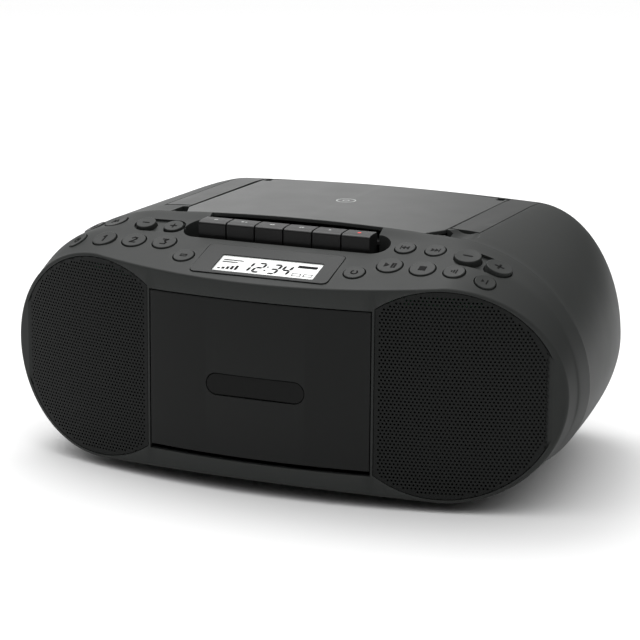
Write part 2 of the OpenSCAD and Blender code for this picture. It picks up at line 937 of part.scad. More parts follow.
module feet() {
    color(key_black)
        for (p = feet_at)
            difference() {
                rod_z(p[0], p[1], 0, 4, 8);
                rod_z(p[0], p[1], -1, 1, 5);
            }
}

module case_screws() {
    color(steel)
        for (p = rear_screws)
            difference() {
                union() {
                    rod_y(p[0], 99.1, 101.5, p[1], 3.5);
                    rod_y(p[0], 86, 99.2, p[1], 1.5);
                }
                box([p[0] - 2.4, 100.6, p[1] - 0.4], [p[0] + 2.4, 102, p[1] + 0.4]);
                box([p[0] - 0.4, 100.6, p[1] - 2.4], [p[0] + 0.4, 102, p[1] + 2.4]);
            }
}

// ---- Piano keys ----

module piano_key(i) {
    x = key_x0 + i * key_pitch + 0.4;
    mid = x + key_w / 2;
    side = [[key_back, 129], [key_back, top_z + 0.6], [key_front + 2, top_z],
        [key_front + 0.8, top_z - 0.8], [key_front, 129]];
    color(key_black)
        difference() {
            union() {
                translate([x, 0, 0])
                    rotate([90, 0, 90])
                        linear_extrude(key_w)
                            polygon(side);
                box([mid - 5, -61, 121], [mid + 5, key_axis[0], 126.4]);
                box([mid - 5, -61, 121], [mid + 5, -56, 130]);
                rod_x(mid - 5, mid + 5, key_axis[0], key_axis[1], 3.2);
            }
            rod_x(mid - 6, mid + 6, key_axis[0], key_axis[1], 1.57);
        }
}

module pause_key() {
    piano_key(0);
}

module stop_eject_key() {
    piano_key(1);
}

module fast_forward_key() {
    piano_key(2);
}

module rewind_key() {
    piano_key(3);
}

module play_key() {
    piano_key(4);
}

module record_key() {
    piano_key(5);
}

// ---- Round buttons ----

// A cap through the panel, a wider collar that keeps it in, and a short stem
module round_button(b) {
    rise = button_rise + b[3];
    color(shell_grey)
        at_button(b) {
            translate([0, 0, rise - 0.5])
                cylinder(r1 = b[2], r2 = b[2] - 0.5, h = 0.5);
            translate([0, 0, -5])
                cylinder(r = b[2], h = rise + 4.5);
            translate([0, 0, -6.2])
                cylinder(r = 2, h = 1.3);
        }
}

module power_button() {
    round_button(power_at);
}

module radio_band_button() {
    round_button(radio_band_at);
}

module tune_down_button() {
    round_button(tune_down_at);
}

module tune_up_button() {
    round_button(tune_up_at);
}

module clock_button() {
    round_button(clock_at);
}

module preset_1_button() {
    round_button(preset_1_at);
}

module preset_2_button() {
    round_button(preset_2_at);
}

module preset_3_button() {
    round_button(preset_3_at);
}

module display_button() {
    round_button(display_at);
}

module skip_back_button() {
    round_button(skip_back_at);
}

module skip_forward_button() {
    round_button(skip_forward_at);
}

module repeat_button() {
    round_button(repeat_at);
}

module cd_play_button() {
    round_button(cd_play_at);
}

module cd_stop_button() {
    round_button(cd_stop_at);
}

module sound_button() {
    round_button(sound_at);
}

module line_in_button() {
    round_button(line_in_at);
}

module volume_down_button() {
    round_button(volume_down_at);
}

module volume_up_button() {
    round_button(volume_up_at);
}

front_cabinet();
rear_cabinet();
left_grille();
right_grille();
left_speaker_frame();
right_speaker_frame();
left_speaker_cone();
right_speaker_cone();
cassette_door();
cassette_window();
cassette_holder();
deck_chassis();
deck_motor();
flywheel();
supply_reel();
takeup_reel();
pinch_roller();
lcd_window();
lcd_module();
circuit_boards();
power_transformer();
mains_inlet();
battery_contacts();
battery_cover();
side_jacks();
cd_well();
cd_turntable();
cd_pickup();
cd_lid();
handle();
antenna_base();
antenna_outer_tube();
antenna_middle_tube();
antenna_tip();
feet();
case_screws();
pause_key();
stop_eject_key();
fast_forward_key();
rewind_key();
play_key();
record_key();
power_button();
radio_band_button();
tune_down_button();
tune_up_button();
clock_button();
preset_1_button();
preset_2_button();
preset_3_button();
display_button();
skip_back_button();
skip_forward_button();
repeat_button();
cd_play_button();
cd_stop_button();
sound_button();
line_in_button();
volume_down_button();
volume_up_button();
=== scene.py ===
"""Looks of a portable boombox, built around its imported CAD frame.

Shapes are worked out in millimetres in the frame's own axes (-Y front, +Z up) and turned into metres
when a mesh is made. Every piece rides on a CAD body."""

import json
import math

import bmesh
import bpy
import numpy as np
from mathutils import Matrix, Vector


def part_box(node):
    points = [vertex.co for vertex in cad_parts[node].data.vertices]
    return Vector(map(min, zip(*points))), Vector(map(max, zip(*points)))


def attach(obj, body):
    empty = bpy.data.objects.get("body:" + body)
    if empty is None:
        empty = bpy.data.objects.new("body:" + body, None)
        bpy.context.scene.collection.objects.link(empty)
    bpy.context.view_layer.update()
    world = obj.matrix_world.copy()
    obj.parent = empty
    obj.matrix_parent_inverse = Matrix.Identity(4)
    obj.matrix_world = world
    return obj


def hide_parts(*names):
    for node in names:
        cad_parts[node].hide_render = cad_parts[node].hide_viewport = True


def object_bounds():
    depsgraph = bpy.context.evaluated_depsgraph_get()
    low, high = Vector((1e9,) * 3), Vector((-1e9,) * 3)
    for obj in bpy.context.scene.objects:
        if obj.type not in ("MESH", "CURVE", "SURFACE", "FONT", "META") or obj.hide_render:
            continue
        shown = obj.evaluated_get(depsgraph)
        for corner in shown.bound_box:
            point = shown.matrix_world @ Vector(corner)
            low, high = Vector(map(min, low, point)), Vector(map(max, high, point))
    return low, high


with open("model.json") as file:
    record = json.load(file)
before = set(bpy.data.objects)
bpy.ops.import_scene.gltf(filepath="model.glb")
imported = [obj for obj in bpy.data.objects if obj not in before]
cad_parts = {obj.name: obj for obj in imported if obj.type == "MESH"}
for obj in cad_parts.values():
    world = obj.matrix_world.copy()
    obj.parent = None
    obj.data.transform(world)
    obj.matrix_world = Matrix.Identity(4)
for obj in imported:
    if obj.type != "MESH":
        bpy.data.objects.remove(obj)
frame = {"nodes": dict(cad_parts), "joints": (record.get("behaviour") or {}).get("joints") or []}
cad_box = [[float(c) for c in corner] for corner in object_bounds()]

MM = 0.001


def box_mm(node):
    """Lowest and highest corner of a CAD node, in millimetres."""
    low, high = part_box(node)
    return low / MM, high / MM


# ---- Driving sizes, read from the frame ----

LOW, HIGH = (Vector(c) / MM for c in cad_box)
HALF_W = HIGH.x
FRONT_Y = LOW.y
BACK_Y = HIGH.y
SEAM_GAP = 0.3
SEAM_Y = box_mm("rear_cabinet")[0].y - SEAM_GAP / 2
DOOR_LOW, DOOR_HIGH = box_mm("cassette_door")
DOOR_PIN = 2.2
DOOR_HALF = DOOR_HIGH.x - DOOR_PIN
LID_LOW, LID_HIGH = box_mm("cd_lid")
CROWN = 2.8
TOP_Z = LID_HIGH.z - CROWN
GRILLE_LOW, GRILLE_HIGH = box_mm("right_grille")
HANDLE_LOW, HANDLE_HIGH = box_mm("handle")
WINDOW_LOW, WINDOW_HIGH = box_mm("cassette_window")
COVER_LOW, COVER_HIGH = box_mm("battery_cover")

# ---- Shape of the cabinet, as in the CAD model ----

BOW_LEN = 820
MID_Z = 67
EDGE = 1.6
WALL = 2.6
GRILLE_X = 107
RIDGE_Z = 123
PANEL_TAN = 0.338
PANEL_END = -56
PANEL_MID = (FRONT_Y + EDGE + PANEL_END) / 2
MID_FLAT = 108
REAR_Y = 104.5
RING_STEPS = 150


def bow(x):
    """How far forward the front face stands at x."""
    return FRONT_Y + x * x / BOW_LEN


def plane_z(y):
    """Height of the flat middle of the control panel."""
    return RIDGE_Z + PANEL_TAN * (y - FRONT_Y)


BOW_RISE = PANEL_TAN * GRILLE_X**2 / BOW_LEN
MID_RISE = PANEL_TAN * MID_FLAT**2 / BOW_LEN / 2

# y, share of the bow, half width, top, top flat, top rise, bottom, bottom flat, bottom rise
FRONT_RINGS = np.array([
    [FRONT_Y + EDGE, 1, HALF_W - 2.5, RIDGE_Z + BOW_RISE, GRILLE_X, -BOW_RISE, 5.7, GRILLE_X, 2.9],
    [PANEL_MID, 0.5, HALF_W - 1.6, plane_z(PANEL_MID) + MID_RISE, MID_FLAT, -MID_RISE, 4.9, 101, 1.4],
    [PANEL_END, 0, HALF_W - 0.4, plane_z(PANEL_END), 93.5, 0, 4.2, 95, 0],
    [SEAM_Y - SEAM_GAP / 2, 0, HALF_W, TOP_Z, 86, CROWN, 4, 95, 0],
])
REAR_RINGS = np.array([
    [SEAM_Y + SEAM_GAP / 2, 0, HALF_W, TOP_Z, 86, CROWN, 4, 95, 0],
    [-10, 0, HALF_W - 3.8, TOP_Z, 89, CROWN, 4, 89, 0],
    [30, 0, HALF_W - 9.4, TOP_Z, 92, CROWN, 4, 83, 0],
    [60, 0, HALF_W - 15.4, TOP_Z, 94.5, CROWN, 4.5, 79, 0],
    [80, 0, HALF_W - 20.8, TOP_Z - 0.7, 95, CROWN - 0.4, 6, 75, 0],
    [93, 0, HALF_W - 26.5, TOP_Z - 3.5, 95, CROWN / 2, 9, 70, 0],
    [100, 0, HALF_W - 32.5, TOP_Z - 7.5, 94, CROWN / 4, 13, 66, 0],
    [REAR_Y, 0, HALF_W - 41, TOP_Z - 14.5, 90, 0, 19, 60, 0],
])


def smooth_rows(rows, at):
    """Rows at the given first-column values, on a smooth curve that never overshoots (monotone cubic)."""
    x, at = rows[:, 0], np.asarray(at, float)
    h, d = np.diff(x), np.diff(rows, axis=0) / np.diff(x)[:, None]
    m = np.zeros_like(rows)
    m[0], m[-1] = d[0], d[-1]
    for i in range(1, len(x) - 1):
        same = d[i - 1] * d[i] > 0
        a, b = 2 * h[i] + h[i - 1], h[i] + 2 * h[i - 1]
        with np.errstate(divide="ignore", invalid="ignore"):
            mean = (a + b) / (a / d[i - 1] + b / d[i])
        m[i] = np.where(same, mean, 0)
    k = np.clip(np.searchsorted(x, at, side="right") - 1, 0, len(x) - 2)
    t = ((at - x[k]) / h[k])[:, None]
    hk = h[k][:, None]
    return (rows[k] * (1 + 2 * t) * (1 - t) ** 2 + hk * m[k] * t * (1 - t) ** 2
            + rows[k + 1] * t * t * (3 - 2 * t) + hk * m[k + 1] * t * t * (t - 1))


def edge_of(x, half, z, flat, rise):
    """Height of one half of a section's outline at x: nearly flat, then a quarter ellipse to MID_Z."""
    u = np.abs(x)
    t = np.clip((u - flat) / (half - flat), 0, 1)
    return np.where(u <= flat, z + rise * (1 - (u / flat) ** 2), MID_Z + (z - MID_Z) * np.sqrt(1 - t * t))


def ring(row, inset=0.0):
    """Closed loop of points round one section: over the top from left to right, back underneath."""
    y, share, half, top, top_flat, top_rise, low, low_flat, low_rise = row
    x = (half - inset) * np.sin(np.linspace(-math.pi / 2, math.pi / 2, RING_STEPS + 1))
    over = edge_of(x, half - inset, top - inset, top_flat, top_rise)
    under = edge_of(x, half - inset, low + inset, low_flat, low_rise)
    depth = y + share * x * x / BOW_LEN
    upper = np.stack([x, depth, over], 1)
    lower = np.stack([x, depth, under], 1)[-2:0:-1]
    return np.concatenate([upper, lower])


# ---- Making meshes ----


def new_object(name, mesh):
    """Object of a mesh, linked into the scene."""
    obj = bpy.data.objects.new(name, mesh)
    bpy.context.scene.collection.objects.link(obj)
    return obj


def mesh_object(name, points, faces):
    """Object from points in millimetres, with its faces turned outwards."""
    mesh = bpy.data.meshes.new(name)
    mesh.from_pydata([tuple(float(c) * MM for c in p) for p in points], [], [tuple(f) for f in faces])
    work = bmesh.new()
    work.from_mesh(mesh)
    bmesh.ops.remove_doubles(work, verts=work.verts, dist=1e-7)
    bmesh.ops.recalc_face_normals(work, faces=work.faces)
    work.to_mesh(mesh)
    work.free()
    return new_object(name, mesh)


def loft(name, rings):
    """Solid skinned over rings of the same number of points, closed at both ends."""
    n = len(rings[0])
    points = [p for r in rings for p in r]
    faces = [(j * n + i, j * n + (i + 1) % n, (j + 1) * n + (i + 1) % n, (j + 1) * n + i)
             for j in range(len(rings) - 1) for i in range(n)]
    for base in (0, (len(rings) - 1) * n):
        faces += [tuple(dict.fromkeys((base + i, base + i + 1, base + n - i - 1, base + (n - i) % n)))
                  for i in range(n // 2)]
    return mesh_object(name, points, faces)


def prism(name, outline, low, high, axis="y"):
    """Outline of (a, b) pairs pushed along an axis from low to high. Along y the pairs are (x, z),
    along z (x, y), along x (y, z)."""
    place = {"x": lambda a, b, c: (c, a, b), "y": lambda a, b, c: (a, c, b), "z": lambda a, b, c: (a, b, c)}
    n = len(outline)
    points = [place[axis](a, b, c) for c in (low, high) for a, b in outline]
    faces = [tuple(range(n)), tuple(range(n, 2 * n))]
    faces += [(i, (i + 1) % n, n + (i + 1) % n, n + i) for i in range(n)]
    return mesh_object(name, points, faces)


def block(name, low, high):
    """Box between two opposite corners."""
    return prism(name, [(low[0], low[1]), (high[0], low[1]), (high[0], high[1]), (low[0], high[1])],
                 low[2], high[2], "z")


def lathe(name, profile, place=Matrix.Identity(4), steps=64):
    """Profile of (radius, height) pairs turned about z, then put in place. It starts and ends on the axis
    or is a closed loop."""
    points, faces = [], []
    n = len(profile)
    closed = profile[0][0] > 0 and profile[-1][0] > 0
    for k in range(steps):
        a = 2 * math.pi * k / steps
        points += [place @ Vector((r * math.cos(a), r * math.sin(a), h)) for r, h in profile]
    for k in range(steps):
        a, b = k * n, (k + 1) % steps * n
        faces += [(a + i, b + i, b + (i + 1) % n, a + (i + 1) % n) for i in range(n if closed else n - 1)]
    return mesh_object(name, points, faces)


def stadium(cx, cy, half_len, radius, steps=24):
    """Outline of a slot with round ends: its straight part reaches half_len each side of cx."""
    return [(cx + way * (half_len + radius * math.sin(t)), cy - way * radius * math.cos(t))
            for way in (1, -1) for t in np.linspace(0, math.pi, steps + 1)]


def rounded_box(x0, y0, x1, y1, radius, steps=8):
    """Outline of a rectangle with round corners."""
    corners = [(x1 - radius, y0 + radius, -90), (x1 - radius, y1 - radius, 0),
               (x0 + radius, y1 - radius, 90), (x0 + radius, y0 + radius, 180)]
    return [(cx + radius * math.cos(math.radians(start + 90 * k / steps)),
             cy + radius * math.sin(math.radians(start + 90 * k / steps)))
            for cx, cy, start in corners for k in range(steps + 1)]


def join(name, parts):
    """One mesh object out of several."""
    work = bmesh.new()
    for part in parts:
        mesh = part.data
        if part.matrix_world != Matrix.Identity(4):
            mesh.transform(part.matrix_world)
        work.from_mesh(mesh)
        bpy.data.objects.remove(part)
    mesh = bpy.data.meshes.new(name)
    work.to_mesh(mesh)
    work.free()
    return new_object(name, mesh)


def boolean(target, tool, how="DIFFERENCE"):
    """Cuts, joins or intersects target with tool, which is used up."""
    step = target.modifiers.new("boolean", "BOOLEAN")
    step.operation, step.solver, step.object = how, "MANIFOLD", tool
    bake_modifiers(target)
    bpy.data.objects.remove(tool)
    return target


def bake_modifiers(obj):
    """Applies every modifier of obj to its mesh."""
    bpy.context.view_layer.update()
    seen = obj.evaluated_get(bpy.context.evaluated_depsgraph_get())
    mesh = bpy.data.meshes.new_from_object(seen)
    mesh.name = obj.name
    obj.modifiers.clear()
    obj.data = mesh
    return obj


def bevel(obj, width, segments=3, angle=35):
    """Rounds the edges of obj that are sharper than angle, by width millimetres."""
    step = obj.modifiers.new("bevel", "BEVEL")
    step.width, step.segments, step.limit_method = width * MM, segments, "ANGLE"
    step.angle_limit = math.radians(angle)
    return bake_modifiers(obj)


def smooth(obj, angle=30):
    """Smooth shading, with the edges sharper than angle kept sharp."""
    obj.data.shade_smooth()
    obj.data.set_sharp_from_angle(angle=math.radians(angle))
    return obj


def finish_piece(obj, material, body, slot, *nodes, angle=30):
    """Gives a piece its material, the body it rides on and the CAD nodes it stands for; slot is not used."""
    smooth(obj, angle)
    step = obj.modifiers.new("even_normals", "WEIGHTED_NORMAL")
    step.keep_sharp = True
    bake_modifiers(obj)
    obj.data.materials.clear()
    obj.data.materials.append(material)
    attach(obj, body)
    if nodes:
        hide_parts(*nodes)
    return obj


def mirror_x(obj):
    """Copy of obj on the other side of the middle plane."""
    mesh = obj.data.copy()
    mesh.transform(Matrix.Scale(-1, 4, (1, 0, 0)))
    mesh.flip_normals()
    return new_object(obj.name + "_mirror", mesh)


# ---- Materials ----


def nodes_of(name):
    """New node material, its tree and its shader."""
    material = bpy.data.materials.new(name)
    material.use_nodes = True
    tree = material.node_tree
    return material, tree, tree.nodes["Principled BSDF"]


def add_node(tree, kind, **values):
    """New node; each value goes to the input of that name, or else to the node's own setting."""
    node = tree.nodes.new(kind)
    for key, value in values.items():
        if key in node.inputs:
            node.inputs[key].default_value = value
        else:
            setattr(node, key, value)
    return node


def noise(tree, scale, detail=2.0, roughness=0.5):
    """Noise in object space; scale is in cycles per metre."""
    place = add_node(tree, "ShaderNodeTexCoord")
    made = add_node(tree, "ShaderNodeTexNoise", Scale=scale, Detail=detail, Roughness=roughness)
    tree.links.new(place.outputs["Object"], made.inputs["Vector"])
    return made.outputs["Fac"]


def remap(tree, value, low, high, start=0.0, end=1.0):
    """Socket that runs from low to high while value runs from start to end."""
    spans = {"From Min": start, "From Max": end, "To Min": low, "To Max": high}
    made = add_node(tree, "ShaderNodeMapRange", **spans)
    tree.links.new(value, made.inputs["Value"])
    return made.outputs["Result"]


def blend_colour(tree, factor, first, second):
    """Colour between first and second, each a colour or a socket."""
    made = tree.nodes.new("ShaderNodeMix")
    made.data_type = "RGBA"
    tree.links.new(factor, made.inputs[0])
    for socket, value in ((made.inputs[6], first), (made.inputs[7], second)):
        if isinstance(value, bpy.types.NodeSocket):
            tree.links.new(value, socket)
        else:
            socket.default_value = (*value, 1)
    return made.outputs[2]


def tint(colour, share):
    """Colour made lighter or darker by a share."""
    return tuple(min(1.0, c * share) for c in colour)


BLOTCH = 0.05
BLOTCH_SCALE = 45.0
GRAIN_DEPTH = 0.05


def surface(name, colour, roughness, grain=0.0, grain_size=0.35, rounding=0.35, wear=0.3, specular=0.5):
    """Moulded or painted surface: fine grain, faint blotches in colour and gloss, worn lighter edges."""
    material, tree, shader = nodes_of(name)
    blotch = noise(tree, BLOTCH_SCALE, 4.0)
    fine = noise(tree, 1 / (grain_size * MM), 3.0, 0.6)
    base = blend_colour(tree, blotch, tint(colour, 1 - BLOTCH), tint(colour, 1 + BLOTCH))
    speck = remap(tree, fine, 0.0, 0.35, 0.45, 0.75)
    base = blend_colour(tree, speck, base, tint(colour, 1.25))
    edges = add_node(tree, "ShaderNodeNewGeometry").outputs["Pointiness"]
    base = blend_colour(tree, remap(tree, edges, 0.0, wear, 0.51, 0.58), base, tint(colour, 2.2))
    tree.links.new(base, shader.inputs["Base Color"])
    tree.links.new(remap(tree, blotch, roughness - 0.015, roughness + 0.02, 0.3, 0.7),
                   shader.inputs["Roughness"])
    shader.inputs["Specular IOR Level"].default_value = specular
    round_edges = add_node(tree, "ShaderNodeBevel", Radius=rounding * MM)
    round_edges.samples = 4
    bump = add_node(tree, "ShaderNodeBump", Strength=grain, Distance=GRAIN_DEPTH * MM)
    tree.links.new(fine, bump.inputs["Height"])
    tree.links.new(round_edges.outputs["Normal"], bump.inputs["Normal"])
    tree.links.new(bump.outputs["Normal"], shader.inputs["Normal"])
    return material


def brushed(name, colour, roughness, stretch=(1, 1, 40)):
    """Metal with a drawn grain along one axis."""
    material, tree, shader = nodes_of(name)
    place = add_node(tree, "ShaderNodeTexCoord")
    scaled = add_node(tree, "ShaderNodeMapping", Scale=stretch)
    lines = add_node(tree, "ShaderNodeTexNoise", Scale=60.0, Detail=4.0)
    tree.links.new(place.outputs["Object"], scaled.inputs["Vector"])
    tree.links.new(scaled.outputs["Vector"], lines.inputs["Vector"])
    tree.links.new(blend_colour(tree, lines.outputs["Fac"], tint(colour, 0.85), tint(colour, 1.1)),
                   shader.inputs["Base Color"])
    tree.links.new(remap(tree, lines.outputs["Fac"], roughness * 0.7, roughness * 1.4),
                   shader.inputs["Roughness"])
    shader.inputs["Metallic"].default_value = 1.0
    return material


def display_surface(name):
    """Pale reflective liquid crystal: a faint grid of pixels, a slight gradient of grey and a faint painted
    glow.
    """
    material, tree, shader = nodes_of(name)
    soft = noise(tree, 18.0, 1.0)
    fine = noise(tree, 4000.0, 1.0)
    base = blend_colour(tree, soft, (0.5, 0.515, 0.505), (0.6, 0.61, 0.6))
    base = blend_colour(tree, remap(tree, fine, 0.0, 0.25), base, (0.64, 0.655, 0.645))
    tree.links.new(base, shader.inputs["Base Color"])
    # Painted glow: the screen's colour is also emitted faintly, so the screen shines though it has no lamp
    # behind it.
    tree.links.new(base, shader.inputs["Emission Color"])
    shader.inputs["Emission Strength"].default_value = 0.16
    tree.links.new(remap(tree, soft, 0.25, 0.35), shader.inputs["Roughness"])
    shader.inputs["Coat Weight"].default_value = 0.4
    return material


SHELL = surface("cabinet_plastic", (0.026, 0.0275, 0.0265), 0.46, grain=0.35, specular=0.1)
LID = surface("lid_plastic", (0.026, 0.0275, 0.0265), 0.42, grain=0.25, wear=0.4, specular=0.36)
HANDLE = surface("handle_plastic", (0.022, 0.0233, 0.0225), 0.42, grain=0.25, wear=0.4, specular=0.2)
GRILLE = surface("grille_paint", (0.010, 0.0107, 0.0103), 0.42, grain=0.15, rounding=0.12, wear=0.25,
                 specular=0.1)
DOOR = surface("door_plastic", (0.008, 0.0085, 0.0082), 0.38, grain=0.2, specular=0.13)
WINDOW = surface("smoked_window", (0.004, 0.0042, 0.004), 0.2, grain=0.02, specular=0.1)
INNER = surface("inner_plastic", (0.02, 0.02, 0.02), 0.55, grain=0.4)
KEY = surface("key_plastic", (0.006, 0.006, 0.006), 0.36, grain=0.2, wear=0.5, rounding=0.3, specular=0.22)
BUTTON = surface("button_plastic", (0.024, 0.0255, 0.0245), 0.4, grain=0.15, wear=0.4, specular=0.1)
BLACK = surface("black_plastic", (0.014, 0.014, 0.014), 0.4, grain=0.2)
RUBBER = surface("black_rubber", (0.02, 0.02, 0.02), 0.75, grain=0.6)
CONE = surface("cone_paper", (0.02, 0.019, 0.018), 0.8, grain=0.9, grain_size=0.9)
BASKET = surface("driver_basket", (0.03, 0.03, 0.03), 0.4, grain=0.2)
INLAY = surface("display_window", (0.012, 0.013, 0.0125), 0.36, grain=0.08, specular=0.1)
BOARD = surface("board_laminate", (0.02, 0.12, 0.05), 0.4, grain=0.3)
PRINT = surface("grey_print", (0.45, 0.46, 0.45), 0.5, grain=0.1, wear=0.0)
DARK_PRINT = surface("dark_print", (0.004, 0.004, 0.004), 0.6, grain=0.1, wear=0.0, specular=0.05)
RED = surface("red_print", (0.75, 0.02, 0.015), 0.4, grain=0.1, wear=0.0)
STEEL = brushed("plated_steel", (0.55, 0.56, 0.57), 0.3)
CHROME = brushed("antenna_chrome", (0.82, 0.82, 0.83), 0.12, (30, 1, 1))
BRASS = brushed("brass_turned", (0.72, 0.56, 0.28), 0.25)
DISPLAY = display_surface("display_glass")

# ---- Camera, light and floor ----


CAMERA_TURN, CAMERA_RISE, CAMERA_ROLL = (math.radians(a) for a in (23.66, 13.22, 0.48))
CAMERA_REACH = 1449
CAMERA_TARGET = Vector((-6.1, -5.0, 78.2))
CAMERA_LENS = 136.1
CAMERA_SHIFT = (-0.0028, 0.0014)


def put_camera():
    """Camera in front of the object, a little above it and to its right, looking slightly down."""
    side = Vector((math.cos(CAMERA_TURN), math.sin(CAMERA_TURN), 0))
    level = Vector((side.y, -side.x, 0)) * math.cos(CAMERA_RISE)
    back = level + Vector((0, 0, math.sin(CAMERA_RISE)))
    up = back.cross(side)
    right = side * math.cos(CAMERA_ROLL) + up * math.sin(CAMERA_ROLL)
    top = up * math.cos(CAMERA_ROLL) - side * math.sin(CAMERA_ROLL)
    matrix = Matrix((right, top, back)).transposed().to_4x4()
    matrix.translation = (CAMERA_TARGET + back * CAMERA_REACH) * MM
    data = bpy.data.cameras.new("camera")
    data.lens, data.sensor_width = CAMERA_LENS, 36
    data.shift_x, data.shift_y = CAMERA_SHIFT
    camera = bpy.data.objects.new("camera", data)
    camera.matrix_world = matrix
    bpy.context.scene.collection.objects.link(camera)
    bpy.context.scene.camera = camera


def area_light(name, at, towards, size, power):
    """White rectangular light, placed and aimed in metres."""
    data = bpy.data.lights.new(name, "AREA")
    data.shape, data.size, data.size_y, data.energy = "RECTANGLE", *size, power
    light = bpy.data.objects.new(name, data)
    light.location = at
    light.rotation_euler = (Vector(towards) - Vector(at)).to_track_quat("-Z", "Y").to_euler()
    bpy.context.scene.collection.objects.link(light)


SKY_BRIGHT_SIDE = (-0.72, 0.69, 0.05)
FLOOR_HALF = 9000
FLOOR_TONE = 0.81


def put_sky():
    """Soft studio surround: bright overhead and behind the object on its left, dim everywhere else."""
    world = bpy.data.worlds.new("studio")
    bpy.context.scene.world = world
    world.use_nodes = True
    tree = world.node_tree
    place = add_node(tree, "ShaderNodeTexCoord")
    towards = add_node(tree, "ShaderNodeVectorMath", operation="DOT_PRODUCT")
    towards.inputs[1].default_value = SKY_BRIGHT_SIDE
    split = add_node(tree, "ShaderNodeSeparateXYZ")
    tree.links.new(place.outputs["Generated"], towards.inputs[0])
    tree.links.new(place.outputs["Generated"], split.inputs["Vector"])
    total = add_node(tree, "ShaderNodeMath", operation="ADD")
    tree.links.new(remap(tree, towards.outputs["Value"], 0.0, 0.4, 0.5, 0.95), total.inputs[0])
    tree.links.new(remap(tree, split.outputs["Z"], 0.05, 2.0, 0.3, 0.95), total.inputs[1])
    tree.links.new(total.outputs[0], tree.nodes["Background"].inputs["Strength"])
    tree.nodes["Background"].inputs["Color"].default_value = (1, 1, 1, 1)


# name, place, aim, size in metres, and power in watts
LIGHTS = (
    ("top_soft", (-0.6, 0.5, 1.5), (0, 0, 0.1), (1.1, 0.8), 12),
    ("back_soft", (-0.75, 1.1, 0.42), (-0.1, 0, 0.14), (0.8, 0.5), 1.1),
    ("side_soft", (1.6, 0.5, 0.45), (0.1, 0, 0.08), (0.25, 0.8), 0.12),
)


def put_stage():
    """Sky, three soft lights and a pale floor."""
    put_sky()
    for light in LIGHTS:
        area_light(*light)
    corners = [(x * FLOOR_HALF, y * FLOOR_HALF, 0) for x, y in ((-1, -1), (1, -1), (1, 1), (-1, 1))]
    floor = mesh_object("floor", corners, [(0, 1, 2, 3)])
    material, tree, shader = nodes_of("floor_paper")
    shader.inputs["Roughness"].default_value = 0.9
    shader.inputs["Specular IOR Level"].default_value = 0.1
    shader.inputs["Base Color"].default_value = (FLOOR_TONE, FLOOR_TONE, FLOOR_TONE, 1)
    floor.data.materials.append(material)
    bpy.context.scene.view_settings.view_transform = "Standard"


put_camera()
put_stage()

# ---- Buttons: their places are read from the CAD nodes and their joints ----

BUTTON_NODES = sorted(n for n in frame["nodes"] if n.endswith("_button"))
JOINT_AXIS = {j["child"]: Vector(j["axis"]) for j in frame["joints"]}


def button_place(node):
    """Local frame of a button: x across, y up the panel, z outwards, its origin at the top of the cap."""
    out = -JOINT_AXIS[node].normalized()
    points = [v.co / MM for v in frame["nodes"][node].data.vertices]
    top = max(p.dot(out) for p in points)
    cap = [p for p in points if p.dot(out) > top - 0.01]
    middle = sum(cap, Vector()) / len(cap)
    wide = [p for p in points if top - 0.7 < p.dot(out) < top - 0.4]
    radius = max((p - middle - out * (p - middle).dot(out)).length for p in wide)
    right = (Vector((1, 0, 0)) - out * out.x).normalized()
    place = Matrix((right, out.cross(right), out)).transposed().to_4x4()
    place.translation = middle
    return place, radius


BUTTONS = {n: button_place(n) for n in BUTTON_NODES}
# How far each cap stands out of the panel
PROUD = {"tune_down_button": 1.6, "volume_up_button": 2.0, "volume_down_button": 2.0}
RISE = 0.8
BUTTON_GAP = 0.6

# ---- Front cabinet ----


GRILLE_SIDES = 160


def grille_outline(grow):
    """Ellipse of the right grille cut straight beside the door, grown by grow. Pairs of (x, z)."""
    half_w, half_h = GRILLE_HIGH.x - GRILLE_X, (GRILLE_HIGH.z - GRILLE_LOW.z) / 2
    mid = (GRILLE_HIGH.z + GRILLE_LOW.z) / 2
    cut = GRILLE_LOW.x - grow
    loop = [(GRILLE_X + (half_w + grow) * math.cos(t), mid + (half_h + grow) * math.sin(t))
            for t in np.linspace(0, 2 * math.pi, GRILLE_SIDES, endpoint=False)]
    return clip(loop, cut)


def clip(loop, cut):
    """The part of a closed loop to the right of x = cut."""
    kept = []
    for (x0, z0), (x1, z1) in zip(loop, loop[1:] + loop[:1]):
        if x0 >= cut:
            kept.append((x0, z0))
        if (x0 - cut) * (x1 - cut) < 0:
            t = (cut - x0) / (x1 - x0)
            kept.append((cut, z0 + t * (z1 - z0)))
    return kept


def bow_strip(x0, x1, near, far, steps=40):
    """Plan outline of a slab that follows the bow, from depth near to depth far."""
    xs = np.linspace(x0, x1, steps + 1)
    return [(x, bow(x) + near) for x in xs] + [(x, bow(x) + far) for x in xs[::-1]]


SLOPE = math.atan(PANEL_TAN)
PANEL = Matrix.Translation((0, FRONT_Y, RIDGE_Z)) @ Matrix.Rotation(SLOPE, 4, "X")


def up_slope(y):
    """Distance up the panel from the ridge to depth y."""
    return (y - FRONT_Y) / math.cos(SLOPE)


INLAY_X = tuple(corner.x for corner in box_mm("lcd_window"))
INLAY_MID, INLAY_HALF = up_slope(-91.75), 15.6
INLAY_Y = (INLAY_MID - INLAY_HALF, INLAY_MID + INLAY_HALF)
INLAY_R = 3.3
SCREEN_X = (-31.3, 31.3)
SCREEN_Y = (up_slope(-103.7), up_slope(-87))
KEY_LOW, KEY_HIGH = box_mm("pause_key")[0], box_mm("record_key")[1]
WELL_MID = (KEY_LOW.x + KEY_HIGH.x) / 2
WELL_Y, WELL_R = -62.2, 9.4
WELL_HALF = (KEY_HIGH.x - KEY_LOW.x) / 2 + 1.2


def put_at(obj, place):
    """Moves a mesh to a place given in millimetres."""
    obj.data.transform(Matrix.Scale(MM, 4) @ place @ Matrix.Scale(1 / MM, 4))
    return obj


